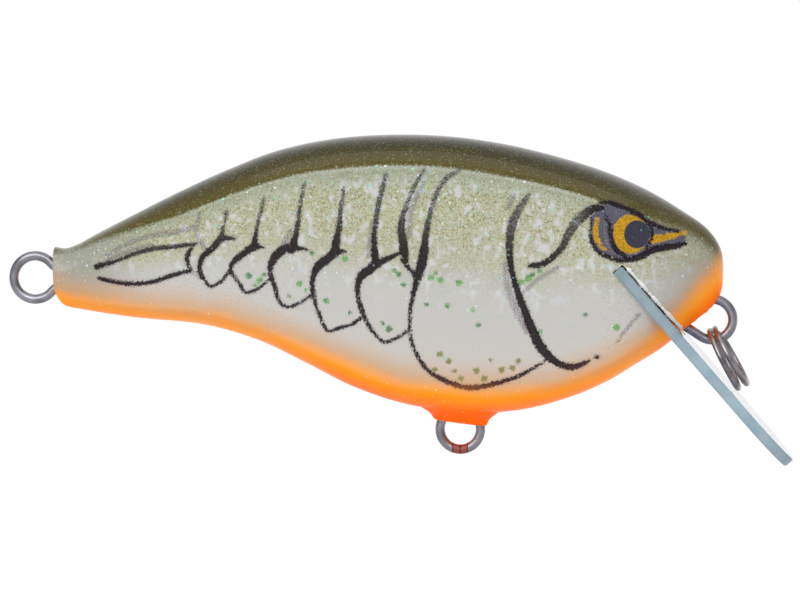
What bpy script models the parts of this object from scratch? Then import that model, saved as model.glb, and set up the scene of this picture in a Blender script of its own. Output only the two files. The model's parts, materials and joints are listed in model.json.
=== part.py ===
"""Flat-sided crankbait lure, as its moulder would assemble it.

Two moulded half shells carry a flat diving lip, three wire hangers and a split ring. Inside them lie a
transfer tube with steel balls, two fixed ballast slugs and two rattle beads.

Frame: metres, +X towards the nose, +Z up, Y = 0 on the parting plane, and the origin at the centre of the
line-tie eye. Blender 4.5 or later.
"""

import math

import bmesh
import bpy
import numpy as np
from mathutils import Matrix, Vector

MM = 0.001

# Body: overall sizes, and where its nose tip stands from the line-tie eye.
BODY_LENGTH = 70.0 * MM
BODY_HEIGHT = 28.95 * MM
BODY_WIDTH = 12.0 * MM
NOSE_AHEAD = 1.15 * MM
NOSE_ABOVE = 5.3 * MM
WALL = 1.3 * MM
RIB = 1.1 * MM
SEAM_GAP = 0.1 * MM

# The side is a flat facet. Above and below it a rounded shoulder ends in a crease.
SHOULDER_BASE = 1.0 * MM
SHOULDER_RISE = 0.08
BELLY_SHOULDER_SHARE = 0.7
SHOULDER_ARC = math.radians(62)

# Profiles, from the nose to the tail: share of the length, then share of the height from the nose tip.
BACK_LINE = [
    (0.0, 0.0),
    (0.002, 0.055),
    (0.010, 0.100),
    (0.026, 0.147),
    (0.060, 0.205),
    (0.110, 0.278),
    (0.170, 0.343),
    (0.244, 0.401),
    (0.320, 0.446),
    (0.400, 0.475),
    (0.484, 0.4836),
    (0.580, 0.469),
    (0.656, 0.432),
    (0.731, 0.366),
    (0.805, 0.287),
    (0.881, 0.197),
    (0.940, 0.125),
    (0.963, 0.096),
    (0.984, 0.081),
    (1.0, 0.0864),
]
BELLY_LINE = [
    (0.0, 0.0),
    (0.003, -0.0725),
    (0.0104, -0.1105),
    (0.024, -0.147),
    (0.049, -0.195),
    (0.088, -0.279),
    (0.132, -0.346),
    (0.170, -0.401),
    (0.207, -0.442),
    (0.244, -0.473),
    (0.290, -0.501),
    (0.364, -0.5164),
    (0.424, -0.5043),
    (0.468, -0.485),
    (0.544, -0.425),
    (0.618, -0.335),
    (0.694, -0.249),
    (0.768, -0.198),
    (0.881, -0.169),
    (0.959, -0.140),
    (0.990, -0.126),
    (1.0, -0.1036),
]
# Half width, as a share of its greatest value, seen from above.
PLAN_LINE = [
    (0.0, 0.0),
    (0.003, 0.20),
    (0.012, 0.40),
    (0.035, 0.63),
    (0.075, 0.83),
    (0.125, 0.95),
    (0.180, 1.0),
    (0.620, 1.0),
    (0.720, 0.93),
    (0.820, 0.79),
    (0.900, 0.64),
    (0.960, 0.54),
    (1.0, 0.50),
]
FACET_START = (0.02, 0.15)  # shares of the length over which the round nose turns into the flat side
FACET_END = 0.90
FACET_AT_TAIL = 0.4
FIRST_STATION = 0.0004

# Wire hangers. Each has an outer eye and an inner loop that the shells lock.
WIRE = 1.0 * MM
GROOVE_CLEARANCE = 0.2 * MM
LOCK_LOOP_RADIUS = 1.5 * MM
NECK_BEND = 2.0 * MM
NECK_GAP = 0.6 * MM  # more than twice the groove clearance, or the two grooves would merge
TAIL_EYE_RADIUS = 2.28 * MM
TAIL_EYE_OUT = 2.0 * MM
TAIL_EYE_STATION = 0.975
BELLY_EYE_RADIUS = 2.11 * MM
BELLY_EYE_STATION = 0.393
BELLY_EYE_DROP = 0.5 * MM
LINE_EYE_RADIUS = 2.1 * MM
LINE_LOCK_RADIUS = 1.2 * MM
LINE_LOCK_REACH = 6.2 * MM
LINE_TIE_HEADING = math.radians(155)

# The boss that the belly hanger leaves through.
BOSS_DROP = 1.6 * MM
BOSS_LENGTH = 6.3 * MM
BOSS_FLARE = 1.6 * MM
BOSS_WIDTH = 3.4 * MM
BOSS_ROOT = 2.6 * MM

# Diving lip: a flat plate, notched to straddle the line-tie hanger, in a slot right across the head.
LIP_THICKNESS = 1.1 * MM
LIP_LENGTH = 26.7 * MM
LIP_ROOT_WIDTH = 12.8 * MM
LIP_WIDTH = 14.0 * MM
LIP_TIP_LENGTH = 6.7 * MM
LIP_SLOPE = math.radians(49.2)
LIP_ROOT_BACK = 9.54 * MM
LIP_ROOT_ABOVE = 5.4 * MM
LIP_CLEARANCE = 0.12 * MM
LIP_NOTCH_CLEARANCE = 0.3 * MM

# Split ring: two turns of wire, hung in the line-tie eye and leaning on the lip.
RING_DIAMETER = 7.15 * MM
RING_WIRE = 0.55 * MM
RING_PITCH = 0.64 * MM
RING_SPLAY = 0.34 * MM
RING_SLOPE = math.radians(62)
RING_SEAT_GAP = 0.3 * MM
RING_CROSSING = 0.45
RING_END = 0.62

# Transfer tube with its steel balls, lower at the front so that they roll there.
BALL_DIAMETER = 4.5 * MM
BALL_COUNT = 3
BALL_GAP = 0.1 * MM
TUBE_CLEARANCE = 0.25 * MM
TUBE_WALL = 0.5 * MM
TUBE_FRONT = (0.288, 0.45)  # share of the length, share of the inner height above the belly
TUBE_REAR = (0.790, 0.62)
TUBE_SEAT_CLEARANCE = 0.15 * MM
CAP_PLUG = 1.3 * MM
CAP_FLANGE = 0.8 * MM
CAP_CLEARANCE = 0.1 * MM

# Fixed ballast slugs: name, station and diameter. Each lies across the body in a ring of its own.
SLUGS = [("belly_ballast_front", 0.238, 7.0 * MM), ("belly_ballast_rear", 0.535, 5.5 * MM)]
SLUG_CLEARANCE = 0.15 * MM

# Rattle beads: name, station and share of the inner height, each in a drum across the body.
BEADS = [("rattle_bead_head", 0.095, 0.76), ("rattle_bead_back", 0.585, 0.80)]
BEAD_DIAMETER = 3.2 * MM
DRUM_CLEARANCE = 1.0 * MM
DRUM_SKIN = 0.4 * MM  # extra wall at a drum's ends, where the head curves in

# The main hollow, the ribs across it, and the posts whose pins line the halves up.
HOLLOW = (0.180, 0.900)
SADDLES = [0.330, 0.476, 0.690]
POSTS = [(0.400, 0.83), (0.700, 0.84)]
POST_DIAMETER = 3.8 * MM
PIN_DIAMETER = 1.6 * MM
PIN_LENGTH = 1.6 * MM
PIN_CLEARANCE = 0.2 * MM

STATIONS = 30
BACK_STEPS, SIDE_STEPS, BELLY_STEPS = 4, 3, 3
ROUND = 32
TUBE_SIDES_RESOLUTION = 2  # bevel resolution: eight sides
FAR = 200.0 * MM  # reach of a cutter that has to run past everything

NOSE_X = NOSE_AHEAD
TAIL_X = NOSE_AHEAD - BODY_LENGTH


# ---------------------------------------------------------------- profiles


def smooth_line(points, per_span=12):
    """A smooth curve through the points, with tangents from their neighbours by chord length."""
    p = np.array(points, float)
    t = np.concatenate([[0.0], np.cumsum(np.linalg.norm(np.diff(p, axis=0), axis=1))])
    m = np.gradient(p, t, axis=0)
    curve = []
    for i in range(len(p) - 1):
        h = t[i + 1] - t[i]
        for s in np.linspace(0, 1, per_span, endpoint=False):
            a, b = 2 * s**3 - 3 * s**2 + 1, s**3 - 2 * s**2 + s
            c, d = 3 * s**2 - 2 * s**3, s**3 - s**2
            curve.append(a * p[i] + b * h * m[i] + c * p[i + 1] + d * h * m[i + 1])
    curve.append(p[-1])
    return np.array(curve).T


BACK, BELLY, PLAN = smooth_line(BACK_LINE), smooth_line(BELLY_LINE), smooth_line(PLAN_LINE)


def station_x(u):
    return NOSE_X - u * BODY_LENGTH


def back_z(u):
    return NOSE_ABOVE + BODY_HEIGHT * float(np.interp(u, *BACK))


def belly_z(u):
    return NOSE_ABOVE + BODY_HEIGHT * float(np.interp(u, *BELLY))


def half_width(u):
    return BODY_WIDTH / 2 * min(1.0, float(np.interp(u, *PLAN)))


def inner_z(u, share):
    """Height at a share of the way up from the inside of the belly to the inside of the back."""
    low, high = belly_z(u) + WALL, back_z(u) - WALL
    return low + share * (high - low)


def smoothstep(x, low, high):
    t = min(1.0, max(0.0, (x - low) / (high - low)))
    return t * t * (3 - 2 * t)


def facet_share(u):
    """1 where the side is a flat facet, less where the section turns round."""
    return smoothstep(u, *FACET_START) * (1 - (1 - FACET_AT_TAIL) * smoothstep(u, FACET_END, 1.0))


def half_section(u, inset):
    """(y, z) of one side of the section at u, from the middle of the back to the middle of the belly."""
    top, bottom, wide = back_z(u) - inset, belly_z(u) + inset, half_width(u) - inset
    tall = top - bottom
    back = SHOULDER_BASE + SHOULDER_RISE * tall
    back = min(back, 0.45 * tall)
    belly = back * BELLY_SHOULDER_SHARE
    full = 1 - math.cos(SHOULDER_ARC)

    def flat_sided(z):
        for depth, reach in ((top - z, back), (z - bottom, belly)):
            if depth < reach:
                angle = math.acos(1 - max(0.0, depth) / reach * full)
                return math.sin(angle) / math.sin(SHOULDER_ARC)
        return 1.0

    def oval(z):
        return math.sqrt(max(0.0, 1 - (2 * (z - bottom) / tall - 1) ** 2))

    def drop(step, steps, reach):
        return reach * (1 - math.cos(SHOULDER_ARC * step / steps)) / full

    heights = [top - drop(i, BACK_STEPS, back) for i in range(BACK_STEPS + 1)]
    span = tall - back - belly
    heights += [top - back - span * i / SIDE_STEPS for i in range(1, SIDE_STEPS)]
    heights += [bottom + drop(i, BELLY_STEPS, belly) for i in range(BELLY_STEPS, -1, -1)]
    share = facet_share(u)
    return [(wide * (share * flat_sided(z) + (1 - share) * oval(z)), z) for z in heights]


# ---------------------------------------------------------------- building blocks


def clear_scene():
    for obj in list(bpy.data.objects):
        bpy.data.objects.remove(obj, do_unlink=True)


def new_collection(name):
    collection = bpy.data.collections.new(name)
    bpy.context.scene.collection.children.link(collection)
    return collection


clear_scene()
LURE = new_collection("crankbait_lure")
CUTTERS = new_collection("cutters")


def material(name, colour, roughness, metallic=0.0):
    made = bpy.data.materials.new(name)
    made.use_nodes = True
    shader = made.node_tree.nodes["Principled BSDF"]
    shader.inputs["Base Color"].default_value = (*colour, 1.0)
    shader.inputs["Roughness"].default_value = roughness
    shader.inputs["Metallic"].default_value = metallic
    return made


PAINTED = material("painted_shell", (0.52, 0.50, 0.38), 0.2)
CLEAR_LIP = material("clear_lip", (0.62, 0.72, 0.76), 0.15)
STEEL_WIRE = material("steel_wire", (0.42, 0.42, 0.45), 0.3, 1.0)
STEEL_BALL = material("steel_ball", (0.72, 0.72, 0.74), 0.1, 1.0)
LEAD = material("ballast_metal", (0.22, 0.22, 0.24), 0.6, 1.0)
BRASS = material("bead_brass", (0.70, 0.52, 0.22), 0.25, 1.0)
TUBE_PLASTIC = material("tube_plastic", (0.80, 0.80, 0.78), 0.4)


def place(name, data, collection, surface=None):
    obj = bpy.data.objects.new(name, data)
    collection.objects.link(obj)
    if surface:
        data.materials.append(surface)
    if collection is CUTTERS:
        obj.hide_render = True
        obj.display_type = "WIRE"
    return obj


def from_bmesh(name, bm, collection, surface=None, smooth=True):
    bmesh.ops.recalc_face_normals(bm, faces=bm.faces)
    mesh = bpy.data.meshes.new(name)
    bm.to_mesh(mesh)
    bm.free()
    if smooth:
        mesh.shade_smooth()
        mesh.set_sharp_from_angle(angle=math.radians(25))
    return place(name, mesh, collection, surface)


def box(name, low, high, collection=None, surface=None):
    low, high = Vector(low), Vector(high)
    bm = bmesh.new()
    bmesh.ops.create_cube(bm, size=1.0)
    bmesh.ops.scale(bm, vec=high - low, verts=bm.verts)
    bmesh.ops.translate(bm, vec=(low + high) / 2, verts=bm.verts)
    return from_bmesh(name, bm, collection or CUTTERS, surface, smooth=False)


def cross_cylinder(name, centre, radius, half_length, collection=None, surface=None):
    """A cylinder that lies across the body, along Y."""
    bm = bmesh.new()
    turned = Matrix.Translation(centre) @ Matrix.Rotation(math.pi / 2, 4, "X")
    bmesh.ops.create_cone(
        bm, cap_ends=True, segments=ROUND, radius1=radius, radius2=radius, depth=2 * half_length, matrix=turned
    )
    return from_bmesh(name, bm, collection or CUTTERS, surface)


def rod(name, start, end, radius, collection=None, surface=None):
    """A solid cylinder from start to end."""
    start, end = Vector(start), Vector(end)
    bm = bmesh.new()
    bmesh.ops.create_cone(
        bm, cap_ends=True, segments=ROUND, radius1=radius, radius2=radius, depth=(end - start).length
    )
    obj = from_bmesh(name, bm, collection or CUTTERS, surface)
    obj.location = (start + end) / 2
    obj.rotation_mode = "QUATERNION"
    obj.rotation_quaternion = (end - start).to_track_quat("Z", "Y")
    return obj


def sphere(name, centre, radius, surface):
    bm = bmesh.new()
    bmesh.ops.create_uvsphere(bm, u_segments=18, v_segments=11, radius=radius)
    obj = from_bmesh(name, bm, LURE, surface)
    obj.location = centre
    return obj


def wire(name, path, thickness, closed, collection, surface=None):
    """A round wire along the path, as a curve object."""
    curve = bpy.data.curves.new(name, "CURVE")
    curve.dimensions = "3D"
    curve.bevel_depth = thickness / 2
    curve.bevel_resolution = TUBE_SIDES_RESOLUTION
    curve.use_fill_caps = not closed
    spline = curve.splines.new("POLY")
    spline.points.add(len(path) - 1)
    for point, place_at in zip(spline.points, path):
        point.co = (*place_at, 1.0)
    spline.use_cyclic_u = closed
    return place(name, curve, collection, surface)


def as_mesh(curve_object):
    """The curve object's surface as a mesh object of the same name, in its place."""
    bpy.context.view_layer.update()
    graph = bpy.context.evaluated_depsgraph_get()
    mesh = bpy.data.meshes.new_from_object(curve_object.evaluated_get(graph))
    bm = bmesh.new()
    bm.from_mesh(mesh)
    bmesh.ops.remove_doubles(bm, verts=bm.verts, dist=0.001 * MM)
    bmesh.ops.triangulate(bm, faces=bm.faces)
    bm.to_mesh(mesh)
    bm.free()
    name, collection = curve_object.name, curve_object.users_collection[0]
    matrix = curve_object.matrix_world.copy()
    bpy.data.objects.remove(curve_object, do_unlink=True)
    obj = place(name, mesh, collection)
    obj.matrix_world = matrix
    return obj


def boolean(target, operation, *others):
    for other in others:
        modifier = target.modifiers.new(other.name, "BOOLEAN")
        modifier.operation = operation
        modifier.object = other
    return target


def arc(centre, radius, start, end, steps):
    """Points along an arc, both ends included."""
    angles = np.linspace(start, end, steps + 1)
    return [(centre[0] + radius * math.cos(a), centre[1] + radius * math.sin(a)) for a in angles]


# ---------------------------------------------------------------- body


def body_solid(name, inset, first, last, collection):
    """The closed body between two stations, taken in by inset on every side."""
    bm = bmesh.new()
    loops = []
    for i in range(STATIONS + 1):
        u = first + (last - first) * (1 - math.cos(math.pi * i / STATIONS)) / 2
        near = half_section(u, inset)
        ring = near + [(-y, z) for y, z in reversed(near[1:-1])]
        loops.append([bm.verts.new((station_x(u), y, z)) for y, z in ring])
    # Triangles, because Booleans need flat faces and a loft's quads are twisted.
    for one, other in zip(loops, loops[1:]):
        for j in range(len(one)):
            k = (j + 1) % len(one)
            bm.faces.new((one[j], one[k], other[k]))
            bm.faces.new((one[j], other[k], other[j]))
    bm.faces.new(loops[0])
    bm.faces.new(loops[-1])
    return from_bmesh(name, bm, collection, PAINTED if collection is LURE else None)


def boss_solid():
    """The tapered boss under the belly that the hanger leaves through."""
    base = belly_z(BELLY_EYE_STATION)
    tall = BOSS_DROP + BOSS_ROOT
    bm = bmesh.new()
    bmesh.ops.create_cone(
        bm,
        cap_ends=True,
        segments=ROUND,
        radius1=BOSS_LENGTH / 2,
        radius2=BOSS_LENGTH / 2 + BOSS_FLARE,
        depth=tall,
    )
    bmesh.ops.scale(bm, vec=(1.0, BOSS_WIDTH / BOSS_LENGTH, 1.0), verts=bm.verts)
    obj = from_bmesh("belly_boss", bm, CUTTERS)
    obj.location = (station_x(BELLY_EYE_STATION), 0.0, base - BOSS_DROP + tall / 2)
    return obj


def slug_centre(station, diameter):
    """Where a slug lies: just clear of the inside of the belly under its whole diameter."""
    reach = (diameter / 2 + SLUG_CLEARANCE) / BODY_LENGTH
    floor = max(belly_z(station + side * reach) for side in (-0.6, 0.0, 0.6))
    return Vector((station_x(station), 0.0, floor + WALL + SLUG_CLEARANCE + diameter / 2))


def pocket_half_length(station, radius):
    """Half length of a pocket across the body that leaves the wall whole."""
    reach = radius / BODY_LENGTH
    return min(half_width(station - reach), half_width(station + reach)) - WALL


def bead_drum(station, share):
    """Centre, radius and half length of a rattle bead's drum."""
    centre = Vector((station_x(station), 0.0, inner_z(station, share)))
    radius = BEAD_DIAMETER / 2 + DRUM_CLEARANCE
    return centre, radius, pocket_half_length(station, radius) - DRUM_SKIN


def tube_end(where):
    return Vector((station_x(where[0]), 0.0, inner_z(*where)))


TUBE_START, TUBE_STOP = tube_end(TUBE_FRONT), tube_end(TUBE_REAR)
TUBE_AXIS = (TUBE_STOP - TUBE_START).normalized()
TUBE_INNER = BALL_DIAMETER / 2 + TUBE_CLEARANCE
TUBE_OUTER = TUBE_INNER + TUBE_WALL


def cavity():
    """The hollow of both halves, less the ribs, rings, posts and blocks that stand in it."""
    hollow = body_solid("cavity", WALL, *HOLLOW, CUTTERS)
    kept = []
    for i, u in enumerate(SADDLES):
        x = station_x(u)
        kept.append(box(f"saddle_{i}", (x - RIB / 2, -FAR, -FAR), (x + RIB / 2, FAR, FAR)))
    for name, station, diameter in SLUGS:
        radius = diameter / 2 + SLUG_CLEARANCE + RIB
        kept.append(cross_cylinder(f"{name}_ring", slug_centre(station, diameter), radius, FAR))
    for name, station, share in BEADS:
        centre, radius, _ = bead_drum(station, share)
        if HOLLOW[0] < station:
            kept.append(cross_cylinder(f"{name}_ring", centre, radius + RIB, FAR))
    for i, (u, share) in enumerate(POSTS):
        centre = (station_x(u), 0.0, inner_z(u, share))
        kept.append(cross_cylinder(f"post_{i}", centre, POST_DIAMETER / 2, FAR))
    x = station_x(BELLY_EYE_STATION)
    reach = LOCK_LOOP_RADIUS + WIRE / 2 + GROOVE_CLEARANCE + WALL
    top = belly_eye_centre().z + eye_to_lock(BELLY_EYE_RADIUS) + reach
    kept.append(box("belly_block", (x - reach, -FAR, -FAR), (x + reach, FAR, top)))
    return boolean(hollow, "DIFFERENCE", *kept)


def shell(name, side, hollow, pockets):
    """One half of the body, with its side of every slot, groove and pocket."""
    body = body_solid(name, 0.0, FIRST_STATION, 1.0, LURE)
    boolean(body, "UNION", bpy.data.objects["belly_boss"])
    boolean(body, "DIFFERENCE", hollow, *pockets)
    edge = side * SEAM_GAP / 2
    low, high = sorted((edge, -side * FAR))
    boolean(body, "DIFFERENCE", box(f"{name}_parting", (-FAR, low, -FAR), (FAR, high, FAR)))
    for i, (u, share) in enumerate(POSTS):
        x, z = station_x(u), inner_z(u, share)
        if side > 0:
            pin = rod(f"pin_{i}", (x, PIN_LENGTH, z), (x, -PIN_LENGTH, z), PIN_DIAMETER / 2)
            boolean(body, "UNION", pin)
        else:
            deep = PIN_LENGTH + PIN_CLEARANCE
            wide = PIN_DIAMETER / 2 + PIN_CLEARANCE
            boolean(body, "DIFFERENCE", rod(f"socket_{i}", (x, -deep, z), (x, deep, z), wide))
    weld = body.modifiers.new("weld", "WELD")
    weld.merge_threshold = 0.002 * MM
    return body


# ---------------------------------------------------------------- hangers


def neck_geometry(eye_radius):
    """Centre of a neck's bend, along and across the hanger, and the reach to the lock loop's centre."""
    across = NECK_BEND + (WIRE + NECK_GAP) / 2
    along = math.sqrt((eye_radius + NECK_BEND) ** 2 - across**2)
    reach = along + math.sqrt((LOCK_LOOP_RADIUS + NECK_BEND) ** 2 - across**2)
    return along, across, reach


def eye_to_lock(eye_radius):
    return neck_geometry(eye_radius)[2]


def waisted_path(eye_radius):
    """Closed centre line of an eye and a lock loop, drawn in to a neck between them."""
    along, across, reach = neck_geometry(eye_radius)
    first, second = math.atan2(across, along), math.atan2(across, reach - along)
    path = arc((0, 0), eye_radius, first, 2 * math.pi - first, 26)
    path += arc((along, -across), NECK_BEND, math.pi - first, second, 6)[1:]
    path += arc((reach, 0), LOCK_LOOP_RADIUS, second - math.pi, math.pi - second, 16)[1:]
    path += arc((along, across), NECK_BEND, -second, first - math.pi, 6)[1:-1]
    return path


def pear_path(eye_radius, lock_radius, reach):
    """Closed centre line of an eye whose straight legs close on a smaller lock loop."""
    turn = math.acos((eye_radius - lock_radius) / reach)
    path = arc((0, 0), eye_radius, turn, 2 * math.pi - turn, 28)
    return path + arc((reach, 0), lock_radius, -turn, turn, 14)


def in_parting_plane(path, centre, heading):
    """Turns (along, across) points into points in the parting plane around centre."""
    along = Vector((math.cos(heading), 0.0, math.sin(heading)))
    across = Vector((-math.sin(heading), 0.0, math.cos(heading)))
    return [centre + a * along + b * across for a, b in path]


def tail_eye_centre():
    u = TAIL_EYE_STATION
    return Vector((TAIL_X - TAIL_EYE_OUT, 0.0, (back_z(u) + belly_z(u)) / 2))


def belly_eye_centre():
    u = BELLY_EYE_STATION
    return Vector((station_x(u), 0.0, belly_z(u) - BOSS_DROP - BELLY_EYE_DROP))


def hanger_paths():
    """The closed centre line of each hanger."""
    pear = pear_path(LINE_EYE_RADIUS, LINE_LOCK_RADIUS, LINE_LOCK_REACH)
    return {
        "tail_hanger": in_parting_plane(waisted_path(TAIL_EYE_RADIUS), tail_eye_centre(), 0.0),
        "belly_hanger": in_parting_plane(waisted_path(BELLY_EYE_RADIUS), belly_eye_centre(), math.pi / 2),
        "line_tie_hanger": in_parting_plane(pear, Vector((0.0, 0.0, 0.0)), LINE_TIE_HEADING),
    }


# ---------------------------------------------------------------- lip and split ring

LIP_ROOT = Vector((-LIP_ROOT_BACK, 0.0, LIP_ROOT_ABOVE))
LIP_RUN = Vector((math.cos(LIP_SLOPE), 0.0, -math.sin(LIP_SLOPE)))
LIP_NORMAL = Vector((math.sin(LIP_SLOPE), 0.0, math.cos(LIP_SLOPE)))


def notch_length(paths):
    """How far the notch runs from the root: past where the hanger last lies in the plate."""
    reach = 0.0
    clear = LIP_THICKNESS / 2 + WIRE / 2 + LIP_NOTCH_CLEARANCE
    path = paths["line_tie_hanger"]
    for one, other in zip(path, path[1:] + path[:1]):
        for share in np.linspace(0, 1, 20):
            point = one.lerp(other, share) - LIP_ROOT
            if abs(point.dot(LIP_NORMAL)) < clear:
                reach = max(reach, point.dot(LIP_RUN))
    return reach + LIP_NOTCH_CLEARANCE


def lip(paths):
    """The plate, drawn flat as half an outline and its mirror, then set at its slope."""
    notch_end, notch_half = notch_length(paths), WIRE / 2 + LIP_NOTCH_CLEARANCE
    straight = LIP_LENGTH - LIP_TIP_LENGTH
    tip = [
        (straight + LIP_TIP_LENGTH * math.sin(a), LIP_WIDTH / 2 * math.cos(a))
        for a in np.linspace(0, math.pi / 2, 15)
    ]
    side = [(notch_end, notch_half), (0.0, notch_half), (0.0, LIP_ROOT_WIDTH / 2)]
    side += [(straight / 2, LIP_WIDTH / 2)] + tip
    outline = side + [(s, -w) for s, w in reversed(side[:-1])]
    curve = bpy.data.curves.new("diving_lip", "CURVE")
    curve.dimensions = "2D"
    curve.fill_mode = "BOTH"
    curve.extrude = LIP_THICKNESS / 2
    spline = curve.splines.new("POLY")
    spline.points.add(len(outline) - 1)
    for point, (s, w) in zip(spline.points, outline):
        point.co = (s, w, 0.0, 1.0)
    spline.use_cyclic_u = True
    obj = place("diving_lip", curve, LURE, CLEAR_LIP)
    obj.location = LIP_ROOT
    obj.rotation_euler = (0.0, LIP_SLOPE, 0.0)
    return obj


def lip_slot():
    """The slot that the lip is glued in, right across both halves."""
    thick = LIP_THICKNESS / 2 + LIP_CLEARANCE
    slot = box("lip_slot", (-LIP_CLEARANCE, -FAR, -thick), (LIP_LENGTH, FAR, thick))
    slot.location = LIP_ROOT
    slot.rotation_euler = (0.0, LIP_SLOPE, 0.0)
    return slot


def ring_path():
    """Two turns of wire that cross over on the far side and spread a little towards the bottom."""
    down = Vector((math.cos(RING_SLOPE), 0.0, -math.sin(RING_SLOPE)))
    normal = Vector((math.sin(RING_SLOPE), 0.0, math.cos(RING_SLOPE)))
    radius = (RING_DIAMETER - RING_WIRE) / 2
    seat = LINE_EYE_RADIUS - WIRE / 2 - RING_WIRE / 2 - RING_SEAT_GAP
    centre = Vector((0.0, 0.0, -seat)) + down * radius
    side = Vector((0.0, 1.0, 0.0))
    points = []
    for turn in np.linspace(RING_END, 4 * math.pi - RING_END, 73).tolist():
        angle = turn + math.pi / 2
        over = smoothstep(turn, 2 * math.pi - RING_CROSSING, 2 * math.pi + RING_CROSSING)
        spread = (RING_PITCH + RING_SPLAY * (1 - math.cos(angle)) / 2) / 2
        around = -math.cos(angle) * down + math.sin(angle) * side
        points.append(centre + radius * around + (2 * over - 1) * spread * normal)
    return points


# ---------------------------------------------------------------- what the shells hold


def transfer_tube():
    """An open tube: a cylinder's wall, thickened inwards."""
    bm = bmesh.new()
    length = (TUBE_STOP - TUBE_START).length
    bmesh.ops.create_cone(
        bm, cap_ends=False, segments=ROUND, radius1=TUBE_OUTER, radius2=TUBE_OUTER, depth=length
    )
    obj = from_bmesh("transfer_tube", bm, LURE, TUBE_PLASTIC)
    obj.location = (TUBE_START + TUBE_STOP) / 2
    obj.rotation_mode = "QUATERNION"
    obj.rotation_quaternion = TUBE_AXIS.to_track_quat("Z", "Y")
    solidify = obj.modifiers.new("wall", "SOLIDIFY")
    solidify.thickness = TUBE_WALL
    solidify.offset = -1.0
    solidify.use_even_offset = True
    return obj


def tube_cap(name, end, outwards):
    """A turned plug with a flange, pushed into one end of the tube."""
    plug, flange = TUBE_INNER - CAP_CLEARANCE, TUBE_OUTER
    profile = [
        (0.0, CAP_FLANGE),
        (flange, CAP_FLANGE),
        (flange, CAP_CLEARANCE),
        (plug, CAP_CLEARANCE),
        (plug, -CAP_PLUG),
        (0.0, -CAP_PLUG),
    ]
    bm = bmesh.new()
    verts = [bm.verts.new((r, 0.0, z)) for r, z in profile]
    for one, other in zip(verts, verts[1:]):
        bm.edges.new((one, other))
    mesh = bpy.data.meshes.new(name)
    bm.to_mesh(mesh)
    bm.free()
    obj = place(name, mesh, LURE, TUBE_PLASTIC)
    screw = obj.modifiers.new("turn", "SCREW")
    screw.steps = ROUND
    screw.render_steps = ROUND
    screw.use_merge_vertices = True
    screw.merge_threshold = 0.001 * MM
    obj.location = end
    obj.rotation_mode = "QUATERNION"
    obj.rotation_quaternion = outwards.to_track_quat("Z", "Y")
    return obj


def transfer_balls():
    """Balls in a row at the tube's lower end, resting on its floor."""
    floor = Vector((0.0, 1.0, 0.0)).cross(TUBE_AXIS)
    floor = floor if floor.z < 0 else -floor
    first = CAP_PLUG + BALL_GAP + BALL_DIAMETER / 2
    for i in range(BALL_COUNT):
        along = first + i * (BALL_DIAMETER + BALL_GAP)
        centre = TUBE_START + TUBE_AXIS * along + floor * (TUBE_CLEARANCE - BALL_GAP)
        sphere(f"transfer_ball_{i + 1}", centre, BALL_DIAMETER / 2, STEEL_BALL)


def slugs():
    for name, station, diameter in SLUGS:
        half = pocket_half_length(station, diameter / 2 + SLUG_CLEARANCE) - SLUG_CLEARANCE
        cross_cylinder(name, slug_centre(station, diameter), diameter / 2, half, LURE, LEAD)


def beads():
    """Each bead lies on the floor of its drum, in the middle."""
    for name, station, share in BEADS:
        centre, radius, _ = bead_drum(station, share)
        drop = radius - BEAD_DIAMETER / 2 - BALL_GAP
        sphere(name, centre - Vector((0.0, 0.0, drop)), BEAD_DIAMETER / 2, BRASS)


def pockets(paths):
    """Everything that is cut out of both halves besides the main hollow."""
    found = [lip_slot()]
    for name, path in paths.items():
        cutter = wire(f"{name}_groove", path, WIRE + 2 * GROOVE_CLEARANCE, True, CUTTERS)
        found.append(as_mesh(cutter))
    seat = TUBE_OUTER + TUBE_SEAT_CLEARANCE
    ends = CAP_FLANGE + TUBE_SEAT_CLEARANCE
    found.append(rod("tube_seat", TUBE_START - TUBE_AXIS * ends, TUBE_STOP + TUBE_AXIS * ends, seat))
    for name, station, diameter in SLUGS:
        radius = diameter / 2 + SLUG_CLEARANCE
        half = pocket_half_length(station, radius)
        found.append(cross_cylinder(f"{name}_pocket", slug_centre(station, diameter), radius, half))
    for name, station, share in BEADS:
        found.append(cross_cylinder(f"{name}_drum", *bead_drum(station, share)))
    return found


def main():
    paths = hanger_paths()
    boss_solid()
    hollow, cuts = cavity(), pockets(paths)
    shell("body_shell_left", 1, hollow, cuts)
    shell("body_shell_right", -1, hollow, cuts)
    for name, path in paths.items():
        wire(name, path, WIRE, True, LURE, STEEL_WIRE)
    lip(paths)
    wire("line_tie_split_ring", ring_path(), RING_WIRE, False, LURE, STEEL_WIRE)
    transfer_tube()
    tube_cap("tube_cap_front", TUBE_START, -TUBE_AXIS)
    tube_cap("tube_cap_rear", TUBE_STOP, TUBE_AXIS)
    transfer_balls()
    slugs()
    beads()


main()
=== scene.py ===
"""The looks of the crankbait lure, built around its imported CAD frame."""

import json
from math import acos, asin, atan2, copysign, cos, pi, radians, sin, sqrt, tan, tau

import bmesh
import bpy
import numpy as np
from mathutils import Matrix, Vector

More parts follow.
